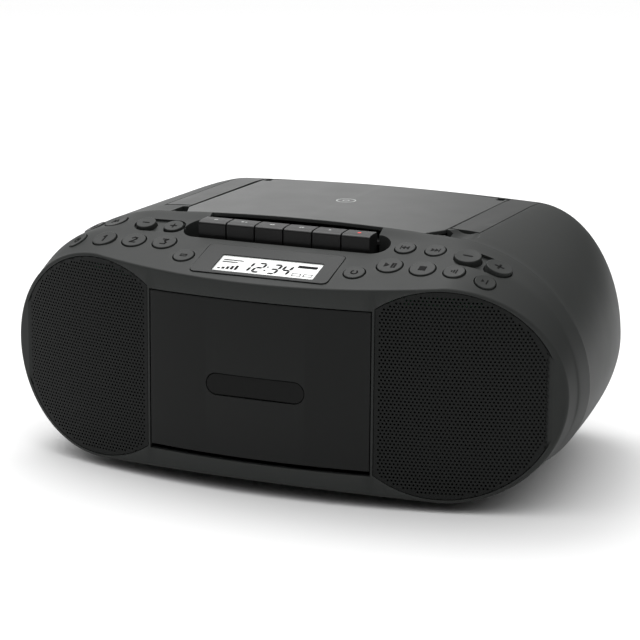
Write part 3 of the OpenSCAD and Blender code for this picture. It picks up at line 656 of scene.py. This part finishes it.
def on_panel(outline, low, high, name="cutter"):
    """Prism standing on the sloping panel; the outline is in its own x and distance up the slope."""
    return put_at(prism(name, outline, low, high, "z"), PANEL)


def plate_outline(xs, ys, grow, radius):
    """Rectangle with round corners between two pairs of coordinates, grown all round."""
    return rounded_box(xs[0] - grow, ys[0] - grow, xs[1] + grow, ys[1] + grow, radius)


def button_hole(node):
    """Cutter for the round hole that a button slides in."""
    place, radius = BUTTONS[node]
    rise = PROUD.get(node, RISE)
    return lathe("cutter", [(0, -8), (radius + BUTTON_GAP, -8), (radius + BUTTON_GAP, 6), (0, 6)],
                 place @ Matrix.Translation((0, 0, -rise)), 48)


def recess(first, second, grow, depth):
    """Shallow slot round two neighbouring buttons, sunk into the panel."""
    (a, ra), (b, rb) = BUTTONS[first], BUTTONS[second]
    rise = {n: PROUD.get(n, RISE) for n in (first, second)}
    p = a.translation - a.col[2].xyz * rise[first]
    q = b.translation - b.col[2].xyz * rise[second]
    out = (a.col[2].xyz + b.col[2].xyz).normalized()
    along = (q - p) - out * (q - p).dot(out)
    across = out.cross(along.normalized())
    place = Matrix((along.normalized(), across, out)).transposed().to_4x4()
    place.translation = (p + q) / 2
    return put_at(prism("cutter", stadium(0, 0, along.length / 2, max(ra, rb) + grow), -depth, 8, "z"), place)


def front_solid(name, inset=0.0):
    """The front cabinet's outer shape with a rounded front edge, or the same shape inset all round."""
    spots = [*np.linspace(FRONT_Y + EDGE, PANEL_END, 17),
             *np.linspace(PANEL_END, SEAM_Y - SEAM_GAP / 2, 7)[1:]]
    rows = smooth_rows(FRONT_RINGS, spots)
    if inset:
        rows[0][0] += inset
        rows[-1][0] += 1
        return loft(name, [ring(row, inset) for row in rows])
    rims = []
    for a in np.linspace(0, math.pi / 2, 7)[:-1]:
        row = rows[0].copy()
        row[0] = FRONT_Y + EDGE * (1 - math.cos(a))
        rims.append(ring(row, EDGE * (1 - math.sin(a))))
    return loft(name, rims + [ring(row) for row in rows])


def rear_solid(name, inset=0.0):
    """The rear cabinet's outer shape, or the same shape inset all round."""
    spots = [*np.linspace(SEAM_Y + SEAM_GAP / 2, 80, 26), *np.linspace(80, REAR_Y, 14)[1:]]
    rows = smooth_rows(REAR_RINGS, spots)
    if inset:
        rows[0][0] -= 1
        rows[-1][0] -= inset
    return loft(name, [ring(row, inset) for row in rows])


def cut_away(target, *tools):
    """Cuts several tools from target, one after the other."""
    for tool in tools:
        boolean(target, tool)
    return target


def stretched(outline, low, high):
    """Upright prism from low to high in z, used as a cutter."""
    return prism("cutter", outline, low, high, "z")


ROD_SIDES = 64


def rod(axis, a, b, low, high, radius):
    """Round bar along an axis, centred on the other two coordinates in their own order."""
    circle = [(a + radius * math.cos(t), b + radius * math.sin(t))
              for t in np.linspace(0, 2 * math.pi, ROD_SIDES, endpoint=False)]
    return prism("rod", circle, low, high, axis)


def both(low, high):
    """A block and its mirror image."""
    return [block("cutter", low, high), block("cutter", (-high[0], *low[1:]), (-low[0], *high[1:]))]


WELL_FLOOR = 131.5
CONE_LOW, CONE_HIGH = box_mm("right_speaker_cone")
DRIVER_X = (CONE_LOW.x + CONE_HIGH.x) / 2
DRIVER_Z = (CONE_LOW.z + CONE_HIGH.z) / 2
CONE_R = (CONE_HIGH.x - CONE_LOW.x) / 2
BAFFLE_LOW, BAFFLE_HIGH = (72, -78, 8), (171, -75, 114)
BAY_WALL_LOW, BAY_WALL_HIGH = (69, -107, 14), (70.6, -72, 116)
OVER = 160


def inside_front():
    """Key well, door bay and speaker baffles: what can be seen inside the front cabinet."""
    parts = [stretched(stadium(WELL_MID, WELL_Y, WELL_HALF, WELL_R + 1.8), WELL_FLOOR - 2, OVER)]
    walls = both(BAY_WALL_LOW, BAY_WALL_HIGH)[::-1]
    for side, baffle, wall in zip((-1, 1), both(BAFFLE_LOW, BAFFLE_HIGH)[::-1], walls):
        parts += [boolean(baffle, rod("y", side * DRIVER_X, DRIVER_Z, -90, -60, CONE_R + 1.2)), wall]
    return parts


DOOR_GAP = 0.6
DOOR_FOOT_ROOM = 2.7
DOOR_BAY_DEPTH = 14
INLAY_GAP = 0.35


def front_shell():
    """Front cabinet, open at the grilles, door, keys, display and buttons."""
    body = front_solid("front_shell")
    boolean(body, front_solid("inside", WALL))
    for part in inside_front():
        boolean(body, boolean(part, front_solid("limit", 0.6), "INTERSECT"), "UNION")
    grille_hole = prism("cutter", grille_outline(0.4), FRONT_Y - 5, -80)
    other_hole = mirror_x(grille_hole)
    door_hole = block("cutter", (-DOOR_HALF - DOOR_GAP, FRONT_Y - 5, DOOR_LOW.z - DOOR_FOOT_ROOM),
                      (DOOR_HALF + DOOR_GAP, FRONT_Y + DOOR_BAY_DEPTH, DOOR_HIGH.z + DOOR_GAP))
    well = stretched(stadium(WELL_MID, WELL_Y, WELL_HALF, WELL_R), WELL_FLOOR, OVER)
    key_slot = block("cutter", (KEY_LOW.x - 0.4, -67.5, 120), (KEY_HIGH.x + 0.4, SEAM_Y + 2, OVER))
    sunk = on_panel(plate_outline(INLAY_X, INLAY_Y, INLAY_GAP, INLAY_R + INLAY_GAP), -1.3, 8)
    screen = on_panel(plate_outline(SCREEN_X, SCREEN_Y, 1, 1), -6, 4)
    cut_away(body, grille_hole, other_hole, door_hole, well, key_slot, sunk, screen,
            recess("tune_down_button", "tune_up_button", 1.4, 1.3),
            recess("volume_down_button", "volume_up_button", 1.3, 1.1))
    boolean(body, join("cutters", [button_hole(n) for n in BUTTONS]))
    finish_piece(body, SHELL, "case", "cabinet_plastic", "front_cabinet")


# ---- Rear cabinet ----

ARM_OUT = HANDLE_HIGH.x
ARM_IN = 82.9
ARM_END = HANDLE_LOW.y
BAR_Y = 78.5
BAR_LOW = HANDLE_LOW.z
PIVOT = (-12, 140.5)
SCREWS = ((112, 84), (-112, 84), (104, 36), (-104, 36))
SCREW_HEAD_R, SCREW_BOSS_R = 3.8, 5.5
INLET_LOW, INLET_HIGH = box_mm("mains_inlet")
BED_IN, ROOM_IN = 80.7, 82.3
BED_OUT, ROOM_OUT = ARM_OUT + 2.2, ARM_OUT + 0.6
BED_TOP, ROOM_TOP = 150, 152
BED_R, ROOM_R = 17, 15.2
THUMB_DISH, THUMB_R = (93.6, -36, 157), 16.2
LID_BED = 139.5
SIDE_JACK_Y, SIDE_JACK_ZS, SIDE_JACK_R = -25, (60, 76), 4.3
VENTS, VENT_START, VENT_PITCH, VENT_WIDTH = 9, 2, 7, 3


def sphere(centre, radius, steps=48):
    """Ball used as a cutter."""
    arc = [(radius * math.sin(t), -radius * math.cos(t)) for t in np.linspace(0, math.pi, steps // 2 + 1)]
    arc[0], arc[-1] = (0, -radius), (0, radius)
    return lathe("cutter", arc, Matrix.Translation(centre), steps)


def handle_bed():
    """Floors and walls round the arms and the crossbar, before the handle's own room is cut."""
    beds = both((BED_IN, ARM_END - 2.3, 129.4), (BED_OUT, REAR_Y, BED_TOP))
    beds += both((BED_IN, SEAM_Y + SEAM_GAP / 2, 135), (105, ARM_END, BED_TOP))
    beds.append(block("bed", (-BED_OUT, BAR_Y - 1.6, BAR_LOW - 3.2), (BED_OUT, REAR_Y, BED_TOP)))
    return beds + [rod("x", *PIVOT, *span, BED_R) for span in ((BED_IN, BED_OUT), (-BED_OUT, -BED_IN))]


def handle_room():
    """Cutters for the space the folded handle lies and turns in, with a thumb dish at the right arm."""
    rooms = both((ROOM_IN, ARM_END - 0.7, 131), (ROOM_OUT, BACK_Y, ROOM_TOP))
    rooms += [rod("x", *PIVOT, *span, ROOM_R) for span in ((ROOM_IN, ROOM_OUT), (-ROOM_OUT, -ROOM_IN))]
    rooms.append(block("room", (-ROOM_OUT, BAR_Y - 0.4, BAR_LOW - 1.6), (ROOM_OUT, BACK_Y, ROOM_TOP)))
    rooms.append(block("room", (-90, BAR_Y - 2, LID_BED), (90, BAR_Y, ROOM_TOP)))
    rooms.append(sphere(THUMB_DISH, THUMB_R))
    rooms += both((ROOM_IN, SEAM_Y + 1.2, 140), (86, -30, ROOM_TOP))
    return rooms


HOUSING_HALF_X, HOUSING_HALF_Z, HOUSING_R = 92, 38, 8
HOUSING_FRONT = 97
HOUSING_STEP = 2


def housing_block(inset):
    """One step of the battery housing, set in from its edge and as far proud of it."""
    mid = (COVER_LOW.z + COVER_HIGH.z) / 2 + 2
    half_x, half_z = HOUSING_HALF_X - inset, HOUSING_HALF_Z - inset
    outline = rounded_box(-half_x, mid - half_z, half_x, mid + half_z, HOUSING_R - inset)
    return prism("housing", outline, HOUSING_FRONT, BACK_Y - HOUSING_STEP + inset)


def battery_housing():
    """Stepped frame round the battery cover."""
    outer, step = housing_block(0), housing_block(HOUSING_STEP)
    return bevel(boolean(outer, step, "UNION"), 0.7, 3)


def rear_holes():
    """Cutters for battery bay, inlet, screws, antenna pin, side sockets and vents."""
    holes = [block("cutter", (COVER_LOW.x - 0.4, BACK_Y - 2.7, COVER_LOW.z - 1),
                   (COVER_HIGH.x + 0.4, BACK_Y + 1, COVER_HIGH.z + 0.5)),
             block("cutter", (-78, 82, COVER_LOW.z + 4), (78, BACK_Y + 1, COVER_HIGH.z - 4)),
             block("cutter", (INLET_LOW.x - 0.2, 80, INLET_LOW.z - 0.2),
                   (INLET_HIGH.x + 0.2, BACK_Y, INLET_HIGH.z + 0.2))]
    holes += [rod("y", x, z, 99, REAR_Y + 1, SCREW_HEAD_R) for x, z in SCREWS]
    antenna_low, antenna_high = box_mm("antenna_base")
    holes.append(rod("y", antenna_high.x - 7, (antenna_low.z + antenna_high.z) / 2, 95, REAR_Y + 1, 2.6))
    holes += [rod("x", SIDE_JACK_Y, z, -HALF_W - 2, -HALF_W + 12, SIDE_JACK_R) for z in SIDE_JACK_ZS]
    for i in range(VENTS):
        start = VENT_START + VENT_PITCH * i
        holes += both((104, start, 0), (136, start + VENT_WIDTH, 30))
    return holes


def rear_shell():
    """Rear cabinet with the beds of the handle and the lid, the battery housing and every opening."""
    body = rear_solid("rear_shell")
    boolean(body, rear_solid("inside", WALL))
    beds = handle_bed()
    beds += [rod("y", x, z, 86, REAR_Y, SCREW_BOSS_R) for x, z in SCREWS]
    beds.append(block("bed", (INLET_LOW.x - 3, 82, INLET_LOW.z - 2.4),
                      (INLET_HIGH.x + 3, REAR_Y, INLET_HIGH.z + 2.4)))
    for bed in beds:
        boolean(body, boolean(bed, rear_solid("limit", 0.02), "INTERSECT"), "UNION")
    boolean(body, battery_housing(), "UNION")
    lid_bay = block("cutter", (-ROOM_IN, SEAM_Y - 1, LID_BED), (ROOM_IN, BAR_Y - 1, ROOM_TOP))
    disc_bay = block("cutter", (-BED_IN, SEAM_Y - 1, 120), (BED_IN, BAR_Y - 1.6, ROOM_TOP))
    cut_away(body, *handle_room(), *rear_holes(), lid_bay, disc_bay)
    finish_piece(body, SHELL, "case", "cabinet_plastic", "rear_cabinet")


# ---- Grilles ----

HOLE_PITCH, ROW_PITCH, HOLE_R = 2.2, 1.9, 0.62
HOLE_ROWS, HOLE_COLUMNS = 31, 24
SHEET = 0.8
FOLD = 1.7


def clip_convex(polygon, outline):
    """The part of a polygon inside a convex, counter-clockwise outline."""
    for (ax, ay), (bx, by) in zip(outline, outline[1:] + outline[:1]):
        kept = []
        side = [(bx - ax) * (y - ay) - (by - ay) * (x - ax) for x, y in polygon]
        for i, point in enumerate(polygon):
            j = (i + 1) % len(polygon)
            if side[i] >= 0:
                kept.append(point)
            if side[i] * side[j] < 0:
                t = side[i] / (side[i] - side[j])
                kept.append(tuple(a + t * (b - a) for a, b in zip(point, polygon[j])))
        polygon = kept
        if len(polygon) < 3:
            return []
    return polygon


def room_inside(x, y, outline):
    """Distance from a point to the edge of a convex outline, negative outside."""
    a = np.array(outline)
    d = np.roll(a, -1, 0) - a
    return float(np.min((d[:, 0] * (y - a[:, 1]) - d[:, 1] * (x - a[:, 0])) / np.hypot(d[:, 0], d[:, 1])))


def grille_sheet(outline):
    """Perforated sheet in rows of round holes. Returns points (x, depth, z) and faces."""
    points, faces = [], []
    corner = [(HOLE_PITCH / 2, ROW_PITCH / 3), (0, ROW_PITCH * 2 / 3), (-HOLE_PITCH / 2, ROW_PITCH / 3),
              (-HOLE_PITCH / 2, -ROW_PITCH / 3), (0, -ROW_PITCH * 2 / 3), (HOLE_PITCH / 2, -ROW_PITCH / 3)]
    for row in range(-HOLE_ROWS, HOLE_ROWS + 1):
        for column in range(-HOLE_COLUMNS, HOLE_COLUMNS + 1):
            x = GRILLE_X + (column + row % 2 / 2) * HOLE_PITCH
            z = MID_Z - 0.3 + row * ROW_PITCH
            room = room_inside(x, z, outline)
            if room < -1.3:
                continue
            cell = [(x + dx, z + dz) for dx, dz in corner]
            if room < 1.9:
                cell = clip_convex(cell, outline) if room < 1.4 else cell
                faces.append(tuple(range(len(points), len(points) + len(cell))))
                points += [(a, 0, b) for a, b in cell]
                continue
            rim = []
            for a, b in zip(cell, cell[1:] + cell[:1]):
                rim += [a, ((a[0] + b[0]) / 2, (a[1] + b[1]) / 2)]
            turns = [math.atan2(b - z, a - x) for a, b in rim]
            base = len(points)
            points += [(a, 0, b) for a, b in rim]
            for depth in (0, SHEET):
                points += [(x + HOLE_R * math.cos(t), depth, z + HOLE_R * math.sin(t)) for t in turns]
            for i in range(12):
                j = (i + 1) % 12
                faces.append((base + i, base + j, base + 12 + j, base + 12 + i))
                faces.append((base + 12 + i, base + 12 + j, base + 24 + j, base + 24 + i))
    return points, [f for f in faces if len(f) > 2]


def grille_rim(outline):
    """Folded edge of the sheet: the outline turned back by the grille's depth."""
    n = len(outline)
    points = [(x, 0, z) for x, z in outline] + [(x, FOLD, z) for x, z in outline]
    return points, [(i, (i + 1) % n, n + (i + 1) % n, n + i) for i in range(n)]


def grilles():
    """Both perforated speaker grilles, bowed with the front."""
    outline = grille_outline(0)
    points, faces = grille_sheet(outline)
    more, rim = grille_rim(outline)
    faces += [tuple(len(points) + i for i in face) for face in rim]
    points += more
    placed = [(x, bow(x) + 0.2 + depth, z) for x, depth, z in points]
    right = mesh_object("right_grille_sheet", placed, faces)
    left = mirror_x(right)
    left.name = "left_grille_sheet"
    finish_piece(right, GRILLE, "case", "grille_metal", "right_grille")
    finish_piece(left, GRILLE, "case", "grille_metal", "left_grille")


# ---- Cassette door ----

HUB_Z = (WINDOW_LOW.z + WINDOW_HIGH.z) / 2
WINDOW_HALF = 24


def cassette_door():
    """Bowed door with a smoked window let into it."""
    slab = prism("door_slab", bow_strip(-DOOR_HALF, DOOR_HALF, 0, 3), DOOR_LOW.z, DOOR_HIGH.z, "z")
    bevel(slab, 0.7, 4, 40)
    boolean(slab, prism("cutter", stadium(0, HUB_Z, WINDOW_HALF, 6.5), FRONT_Y - 2, FRONT_Y + 6))
    finish_piece(slab, DOOR, "tape_door", "door_plastic", "cassette_door")
    pane = prism("cassette_pane", stadium(0, HUB_Z, WINDOW_HALF, 6.2), FRONT_Y + 1.2, FRONT_Y + 4.3)
    bevel(pane, 0.4, 3)
    back = prism("pane_back", stadium(0, HUB_Z, WINDOW_HALF + 1, 8.5), FRONT_Y + 4.5, FRONT_Y + 5.3)
    finish_piece(join("cassette_pane", [pane, back]), WINDOW, "tape_door", "smoked_window",
                 "cassette_window")


# ---- Display ----

DIGIT_SEGMENTS = {"1": "bc", "2": "abged", "3": "abgcd", "4": "fgbc"}
DIGIT_PLACES = {"1": -15.0, "2": -7.6, "3": 1.9, "4": 8.9}
DIGIT_W, DIGIT_H, DIGIT_BAR = 4.4, 9.6, 1.6
SLANT = 0.14


def digit(text, x, y):
    """Seven-segment digit: outlines of its lit bars, each a six-sided lozenge, leaning to the right."""
    w, h = DIGIT_W, DIGIT_H

    def bar(x0, y0, x1, y1):
        k, g = DIGIT_BAR / 2, DIGIT_BAR * 0.1
        flat, long = y0 == y1, max(x1 - x0, y1 - y0)
        spots = ((g, 0), (g + k, k), (long - g - k, k), (long - g, 0), (long - g - k, -k), (g + k, -k))
        loop = [(x0 + a, y0 + b) if flat else (x0 + b, y0 + a) for a, b in spots]
        return [(a + SLANT * (b - y), b) for a, b in loop]

    m = y + h / 2
    bars = {"a": (x, y + h, x + w, y + h), "b": (x + w, m, x + w, y + h), "c": (x + w, y, x + w, m),
            "d": (x, y, x + w, y), "e": (x, y, x, m), "f": (x, m, x, y + h), "g": (x, m, x + w, m)}
    return [bar(*bars[s]) for s in DIGIT_SEGMENTS[text]]


def readout():
    """Clock digits and small bars of the liquid crystal display, as outlines on the panel."""
    y = SCREEN_Y[0] + 3.0
    loops = []
    for text, x in DIGIT_PLACES.items():
        loops += digit(text, x, y)
    for up in (2.6, 6.4):
        loops.append([(-0.9 + SLANT * up + a, y + up + b)
                      for a, b in ((-0.6, -0.6), (0.6, -0.6), (0.6, 0.6), (-0.6, 0.6))])
    for i in range(5):
        x = -29 + 2.6 * i
        loops.append([(x, y), (x + 1.7, y), (x + 1.7, y + 1.2 + i * 0.9), (x, y + 1.2 + i * 0.9)])
    for up, long in ((7.4, 9.5), (9.6, 12.5)):
        loops.append(rounded_box(-29, y + up, -29 + long, y + up + 1.0, 0.4, 3))
    for left in (17.0, 24.0):
        loops += wide_line([(left, y), (left + 5, y), (left + 5, y + 2.4), (left, y + 2.4), (left, y)], 0.5)
    loops.append(rounded_box(17, y + 8.6, 29, y + 11.4, 0.5, 3))
    return loops


def display():
    """Dark inlay on the panel, with the pale screen and its marks in its opening."""
    frame_plate = on_panel(plate_outline(INLAY_X, INLAY_Y, 0, INLAY_R), -1.1, 0.2, "display_inlay")
    bevel(frame_plate, 0.15, 2)
    boolean(frame_plate, on_panel(plate_outline(SCREEN_X, SCREEN_Y, 0, 0.8), -2, 2))
    finish_piece(frame_plate, INLAY, "case", "display_window", "lcd_window")
    glass = on_panel(plate_outline(SCREEN_X, SCREEN_Y, 0.5, 0.8), -1.2, -0.45, "display_face")
    finish_piece(glass, DISPLAY, "case", "display_glass")
    marks = join("display_marks", [on_panel(loop, -0.46, -0.42) for loop in readout()])
    finish_piece(marks, DARK_PRINT, "case", "display_glass")


# ---- Signs on the keys and buttons, drawn in a unit square ----


def wide_line(points, width=0.32):
    """Outline of a line of some width through points, as one quad a stretch."""
    quads = []
    for (x0, y0), (x1, y1) in zip(points, points[1:]):
        long = math.hypot(x1 - x0, y1 - y0)
        dx, dy = (x1 - x0) / long * width / 2, (y1 - y0) / long * width / 2
        quads.append([(x0 - dx - dy, y0 - dy + dx), (x1 + dx - dy, y1 + dy + dx),
                      (x1 + dx + dy, y1 + dy - dx), (x0 - dx + dy, y0 - dy - dx)])
    return quads


def arrow(x, size=0.8, way=1):
    """Triangle pointing along x."""
    return [(x, -size), (x + way * size * 1.3, 0), (x, size)]


def upright(x, width, size=0.8):
    """Standing bar that starts at x."""
    return [(x, -size), (x + width, -size), (x + width, size), (x, size)]


def arc_points(start, end, radius=0.8, steps=14):
    """Points on a circle, by degrees clockwise from the top."""
    return [(radius * math.sin(math.radians(t)), radius * math.cos(math.radians(t)))
            for t in np.linspace(start, end, steps)]


DOT = [(0.75 * math.cos(t), 0.75 * math.sin(t)) for t in np.linspace(0, 2 * math.pi, 24, endpoint=False)]
MINUS = wide_line([(-0.7, 0), (0.7, 0)], 0.38)
PLUS = MINUS + wide_line([(0, -0.7), (0, 0.7)], 0.38)
SQUARE = [(-0.7, -0.7), (0.7, -0.7), (0.7, 0.7), (-0.7, 0.7)]
SIGNS = {
    "power_button": wide_line(arc_points(35, 325)) + wide_line([(0, 0.1), (0, 1.05)]),
    "preset_1_button": wide_line([(-0.3, 0.6), (0.05, 0.9), (0.05, -0.9)], 0.36),
    "preset_2_button": wide_line([(-0.5, 0.6), (-0.1, 0.9), (0.4, 0.7), (0.4, 0.3), (-0.5, -0.9),
                                  (0.5, -0.9)], 0.36),
    "preset_3_button": wide_line([(-0.5, 0.9), (0.45, 0.9), (0, 0.32), (0.45, -0.32), (0.3, -0.8),
                                  (-0.5, -0.8)], 0.36),
    "tune_down_button": MINUS,
    "tune_up_button": PLUS,
    "volume_down_button": MINUS,
    "volume_up_button": PLUS,
    "skip_back_button": [upright(-1.1, 0.25), arrow(0.05, 0.7, -1), arrow(1.0, 0.7, -1)],
    "skip_forward_button": [arrow(-1.0, 0.7), arrow(-0.05, 0.7), upright(0.88, 0.25)],
    "cd_play_button": [arrow(-1.0, 0.75), upright(0.35, 0.38), upright(0.85, 0.38)],
    "cd_stop_button": [SQUARE],
    "repeat_button": wide_line(arc_points(40, 320, 0.7)),
    "display_button": wide_line([(-0.7, -0.35), (0.7, -0.35), (0.7, 0.35), (-0.7, 0.35),
                                 (-0.7, -0.35)], 0.26),
    "clock_button": wide_line(arc_points(0, 360, 0.8), 0.28) + wide_line([(0, 0.5), (0, 0), (0.35, 0)], 0.28),
    "radio_band_button": wide_line([(-0.7, -0.5), (-0.35, 0.4), (0, -0.3), (0.35, 0.4), (0.7, -0.5)]),
    "sound_button": [upright(-0.7, 0.3, 0.3), upright(-0.15, 0.3, 0.55), upright(0.4, 0.3, 0.8)],
    "line_in_button": [arrow(-0.9, 0.5)] + wide_line([(0.4, -0.6), (0.4, 0.6)]),
    "pause_key": [upright(-0.6, 0.4), upright(0.2, 0.4)],
    "stop_eject_key": [upright(-1.2, 1.0, 0.5), [(0.2, -0.1), (1.4, -0.1), (0.8, 0.6)],
                       [(0.2, -0.5), (1.4, -0.5), (1.4, -0.25), (0.2, -0.25)]],
    "fast_forward_key": [arrow(-1.0), arrow(0.0)],
    "rewind_key": [arrow(1.0, way=-1), arrow(0.0, way=-1)],
    "play_key": [arrow(-0.5)],
    "record_key": [DOT],
}


def sign(node, place, scale, depth, proud):
    """Thin raised print of a key's or button's sign."""
    loops = [[(a * scale, b * scale) for a, b in loop] for loop in SIGNS[node]]
    parts = [prism("sign", loop, -depth, proud, "z") for loop in loops]
    return put_at(join(node + "_sign", parts), place)


STEM_R, STEM_FOOT, CAP_FOOT = 2, 6, 4.9
RIM_R = 0.5
DISH = 0.12


def buttons():
    """Round caps with a rounded rim, a slightly dished top and a stem."""
    for node, (place, radius) in BUTTONS.items():
        rise = PROUD.get(node, RISE)
        rim = [(radius - RIM_R + RIM_R * math.cos(t), RIM_R * math.sin(t) - RIM_R)
               for t in np.linspace(0, math.pi / 2, 7)]
        profile = [(0, -rise - STEM_FOOT), (STEM_R, -rise - STEM_FOOT), (STEM_R, -rise - CAP_FOOT),
                   (radius, -rise - CAP_FOOT), *rim, (radius * 0.6, -DISH), (0, -0.2)]
        cap = lathe(node + "_cap", profile, place, 72)
        finish_piece(cap, BUTTON, node, "button_plastic", node, angle=50)
        print_at = place @ Matrix.Translation((0, 0, -DISH))
        finish_piece(sign(node, print_at, radius * 0.42, 0.2, 0.06), DARK_PRINT, node, "button_plastic")


KEY_NODES = ("pause_key", "stop_eject_key", "fast_forward_key", "rewind_key", "play_key", "record_key")
KEY_BACK = -55
KEY_FOOT = 131


def keys():
    """Piano keys with a rounded front edge; each also has the arm that reaches back to its rod."""
    for node in KEY_NODES:
        low, high = box_mm(node)
        top, front, back = high.z, low.y, KEY_BACK
        side = [(front + 0.5, KEY_FOOT), (front + 0.1, top - 2.4), (front + 0.4, top - 1.5),
                (front + 1.1, top - 0.9), (front + 2.2, top - 0.6), (front + 6, top - 0.2),
                (back - 0.3, top), (back, top - 0.3), (back, KEY_FOOT)]
        body = prism(node + "_body", side, low.x, high.x, "x")
        bevel(body, 0.45, 3, 30)
        mid = (low.x + high.x) / 2
        arm = block("arm", (mid - 2.5, back - 1, KEY_FOOT + 0.2), (mid + 2.5, high.y, 134))
        finish_piece(join(node + "_body", [body, arm]), KEY, node, "key_plastic", node)
        place = Matrix.Translation((mid, front + 6, top - 0.22)) @ Matrix.Rotation(math.radians(3), 4, "X")
        ink = RED if node == "record_key" else PRINT
        finish_piece(sign(node, place, 1.5, 0.1, 0.05), ink, node, "key_plastic")


# ---- Lid, handle and battery cover ----

LID_AXIS = (73, 143.4)
DISC_Y = 14.8
LID_T = 2.4
CLAMP_IN, CLAMP_OUT = 9, 15
CLAMP_FOOT, CLAMP_HOLLOW, CLAMP_TOP = 138.2, 142.3, 146.2
LUG_SPAN, LUG_R = (68, 79.2), 1.6


def lid_top(x):
    """Height of the lid's crowned top."""
    return TOP_Z + CROWN * (1 - (x / 86) ** 2)


def lid():
    """Crowned lid with cut front corners, disc clamp and hinge lugs underneath, and a plain ring on top."""
    half = LID_HIGH.x
    xs = np.linspace(-half, half, 49)
    outline = [(x, lid_top(x)) for x in xs] + [(x, lid_top(x) - LID_T) for x in xs[::-1]]
    body = prism("lid_panel", outline, LID_LOW.y, LID_HIGH.y)
    corner = [(74.5, SEAM_Y - 1), (84, SEAM_Y - 1), (84, -30), (half, -31)]
    cut = prism("cutter", corner, 140, 152, "z")
    cut_away(body, mirror_x(cut), cut, *both((75.6, 70, 138), (79.9, 80, 152)))
    bevel(body, 0.5, 3, 40)
    clamp = lathe("clamp", [(0, CLAMP_HOLLOW), (CLAMP_IN, CLAMP_HOLLOW), (CLAMP_IN, CLAMP_FOOT),
                            (CLAMP_OUT, CLAMP_FOOT), (CLAMP_OUT, CLAMP_TOP), (0, CLAMP_TOP)],
                  Matrix.Translation((0, DISC_Y, 0)))
    lugs = [rod("x", *LID_AXIS, *span, LUG_R) for span in (LUG_SPAN, (-LUG_SPAN[1], -LUG_SPAN[0]))]
    finish_piece(join("lid_panel", [body, clamp, *lugs]), LID, "lid", "lid_plastic", "cd_lid")
    mark_at = Matrix.Translation((-0.5, 17, TOP_Z + CROWN - 0.04))
    marks = [lathe("disc_mark", [(a, -0.1), (b, -0.1), (b, 0.05), (a, 0.05)], mark_at)
             for a, b in ((5.3, 6.0), (1.5, 2.1))]
    finish_piece(join("disc_mark", marks), PRINT, "lid", "lid_plastic")


BAR_HOLLOW_X = 96.5


def handle():
    """U-shaped handle cut from the cabinet's own outer shape, its crossbar hollow underneath."""
    body = rear_solid("handle_bar")
    arms = both((ARM_IN, ARM_END, TOP_Z - 12.5), (ARM_OUT, 90, ROOM_TOP))
    bar = block("bar", (-ARM_OUT, BAR_Y, BAR_LOW), (ARM_OUT, REAR_Y + 1, ROOM_TOP))
    boolean(bar, arms[0], "UNION")
    boolean(bar, arms[1], "UNION")
    boolean(body, bar, "INTERSECT")
    cut_away(body, block("hollow", (-BAR_HOLLOW_X, 81.3, BAR_LOW - 1), (BAR_HOLLOW_X, 92, 140)),
             block("hollow", (-BAR_HOLLOW_X, 91, BAR_LOW - 1), (BAR_HOLLOW_X, 99.5, 131)))
    bevel(body, 0.5, 2, 40)
    finish_piece(body, HANDLE, "handle", "handle_plastic", "handle")


GRIPS, GRIP_PITCH = 7, 2.2


def battery_cover():
    """Flat cover with a row of finger grips and an arrow sunk into it."""
    plate = block("battery_lid", (COVER_LOW.x, BACK_Y - 2.2, COVER_LOW.z),
                  (COVER_HIGH.x, BACK_Y - 0.1, COVER_HIGH.z))
    bevel(plate, 0.5, 3)
    for i in range(GRIPS):
        z = COVER_HIGH.z - 6 - GRIP_PITCH * i
        boolean(plate, block("cutter", (-16, BACK_Y - 0.6, z), (16, BACK_Y + 1, z + 1.1)))
    arrow_cut = prism("cutter", [(-5, COVER_HIGH.z - 24), (5, COVER_HIGH.z - 24), (0, COVER_HIGH.z - 30)],
                      BACK_Y - 0.5, BACK_Y + 1)
    boolean(plate, arrow_cut)
    finish_piece(plate, SHELL, "battery_cover", "cabinet_plastic", "battery_cover")


# ---- CAD nodes that are shown as they are ----

KEPT = (
    (BASKET, "left_speaker_frame right_speaker_frame"),
    (CONE, "left_speaker_cone right_speaker_cone"),
    (INNER, "cassette_holder cd_well"),
    (STEEL, "deck_chassis deck_motor power_transformer battery_contacts case_screws"),
    (BRASS, "flywheel"),
    (BLACK, "supply_reel takeup_reel lcd_module mains_inlet side_jacks cd_turntable cd_pickup antenna_base"),
    (RUBBER, "pinch_roller feet"),
    (BOARD, "circuit_boards"),
    (CHROME, "antenna_outer_tube antenna_middle_tube antenna_tip"),
)


def dress_cad_nodes():
    """Gives the CAD nodes that stay visible their materials."""
    for material, names in KEPT:
        for name in names.split():
            node = frame["nodes"][name]
            node.data.materials.clear()
            node.data.materials.append(material)
            smooth(node)


front_shell()
rear_shell()
grilles()
cassette_door()
display()
buttons()
keys()
lid()
handle()
battery_cover()
dress_cad_nodes()
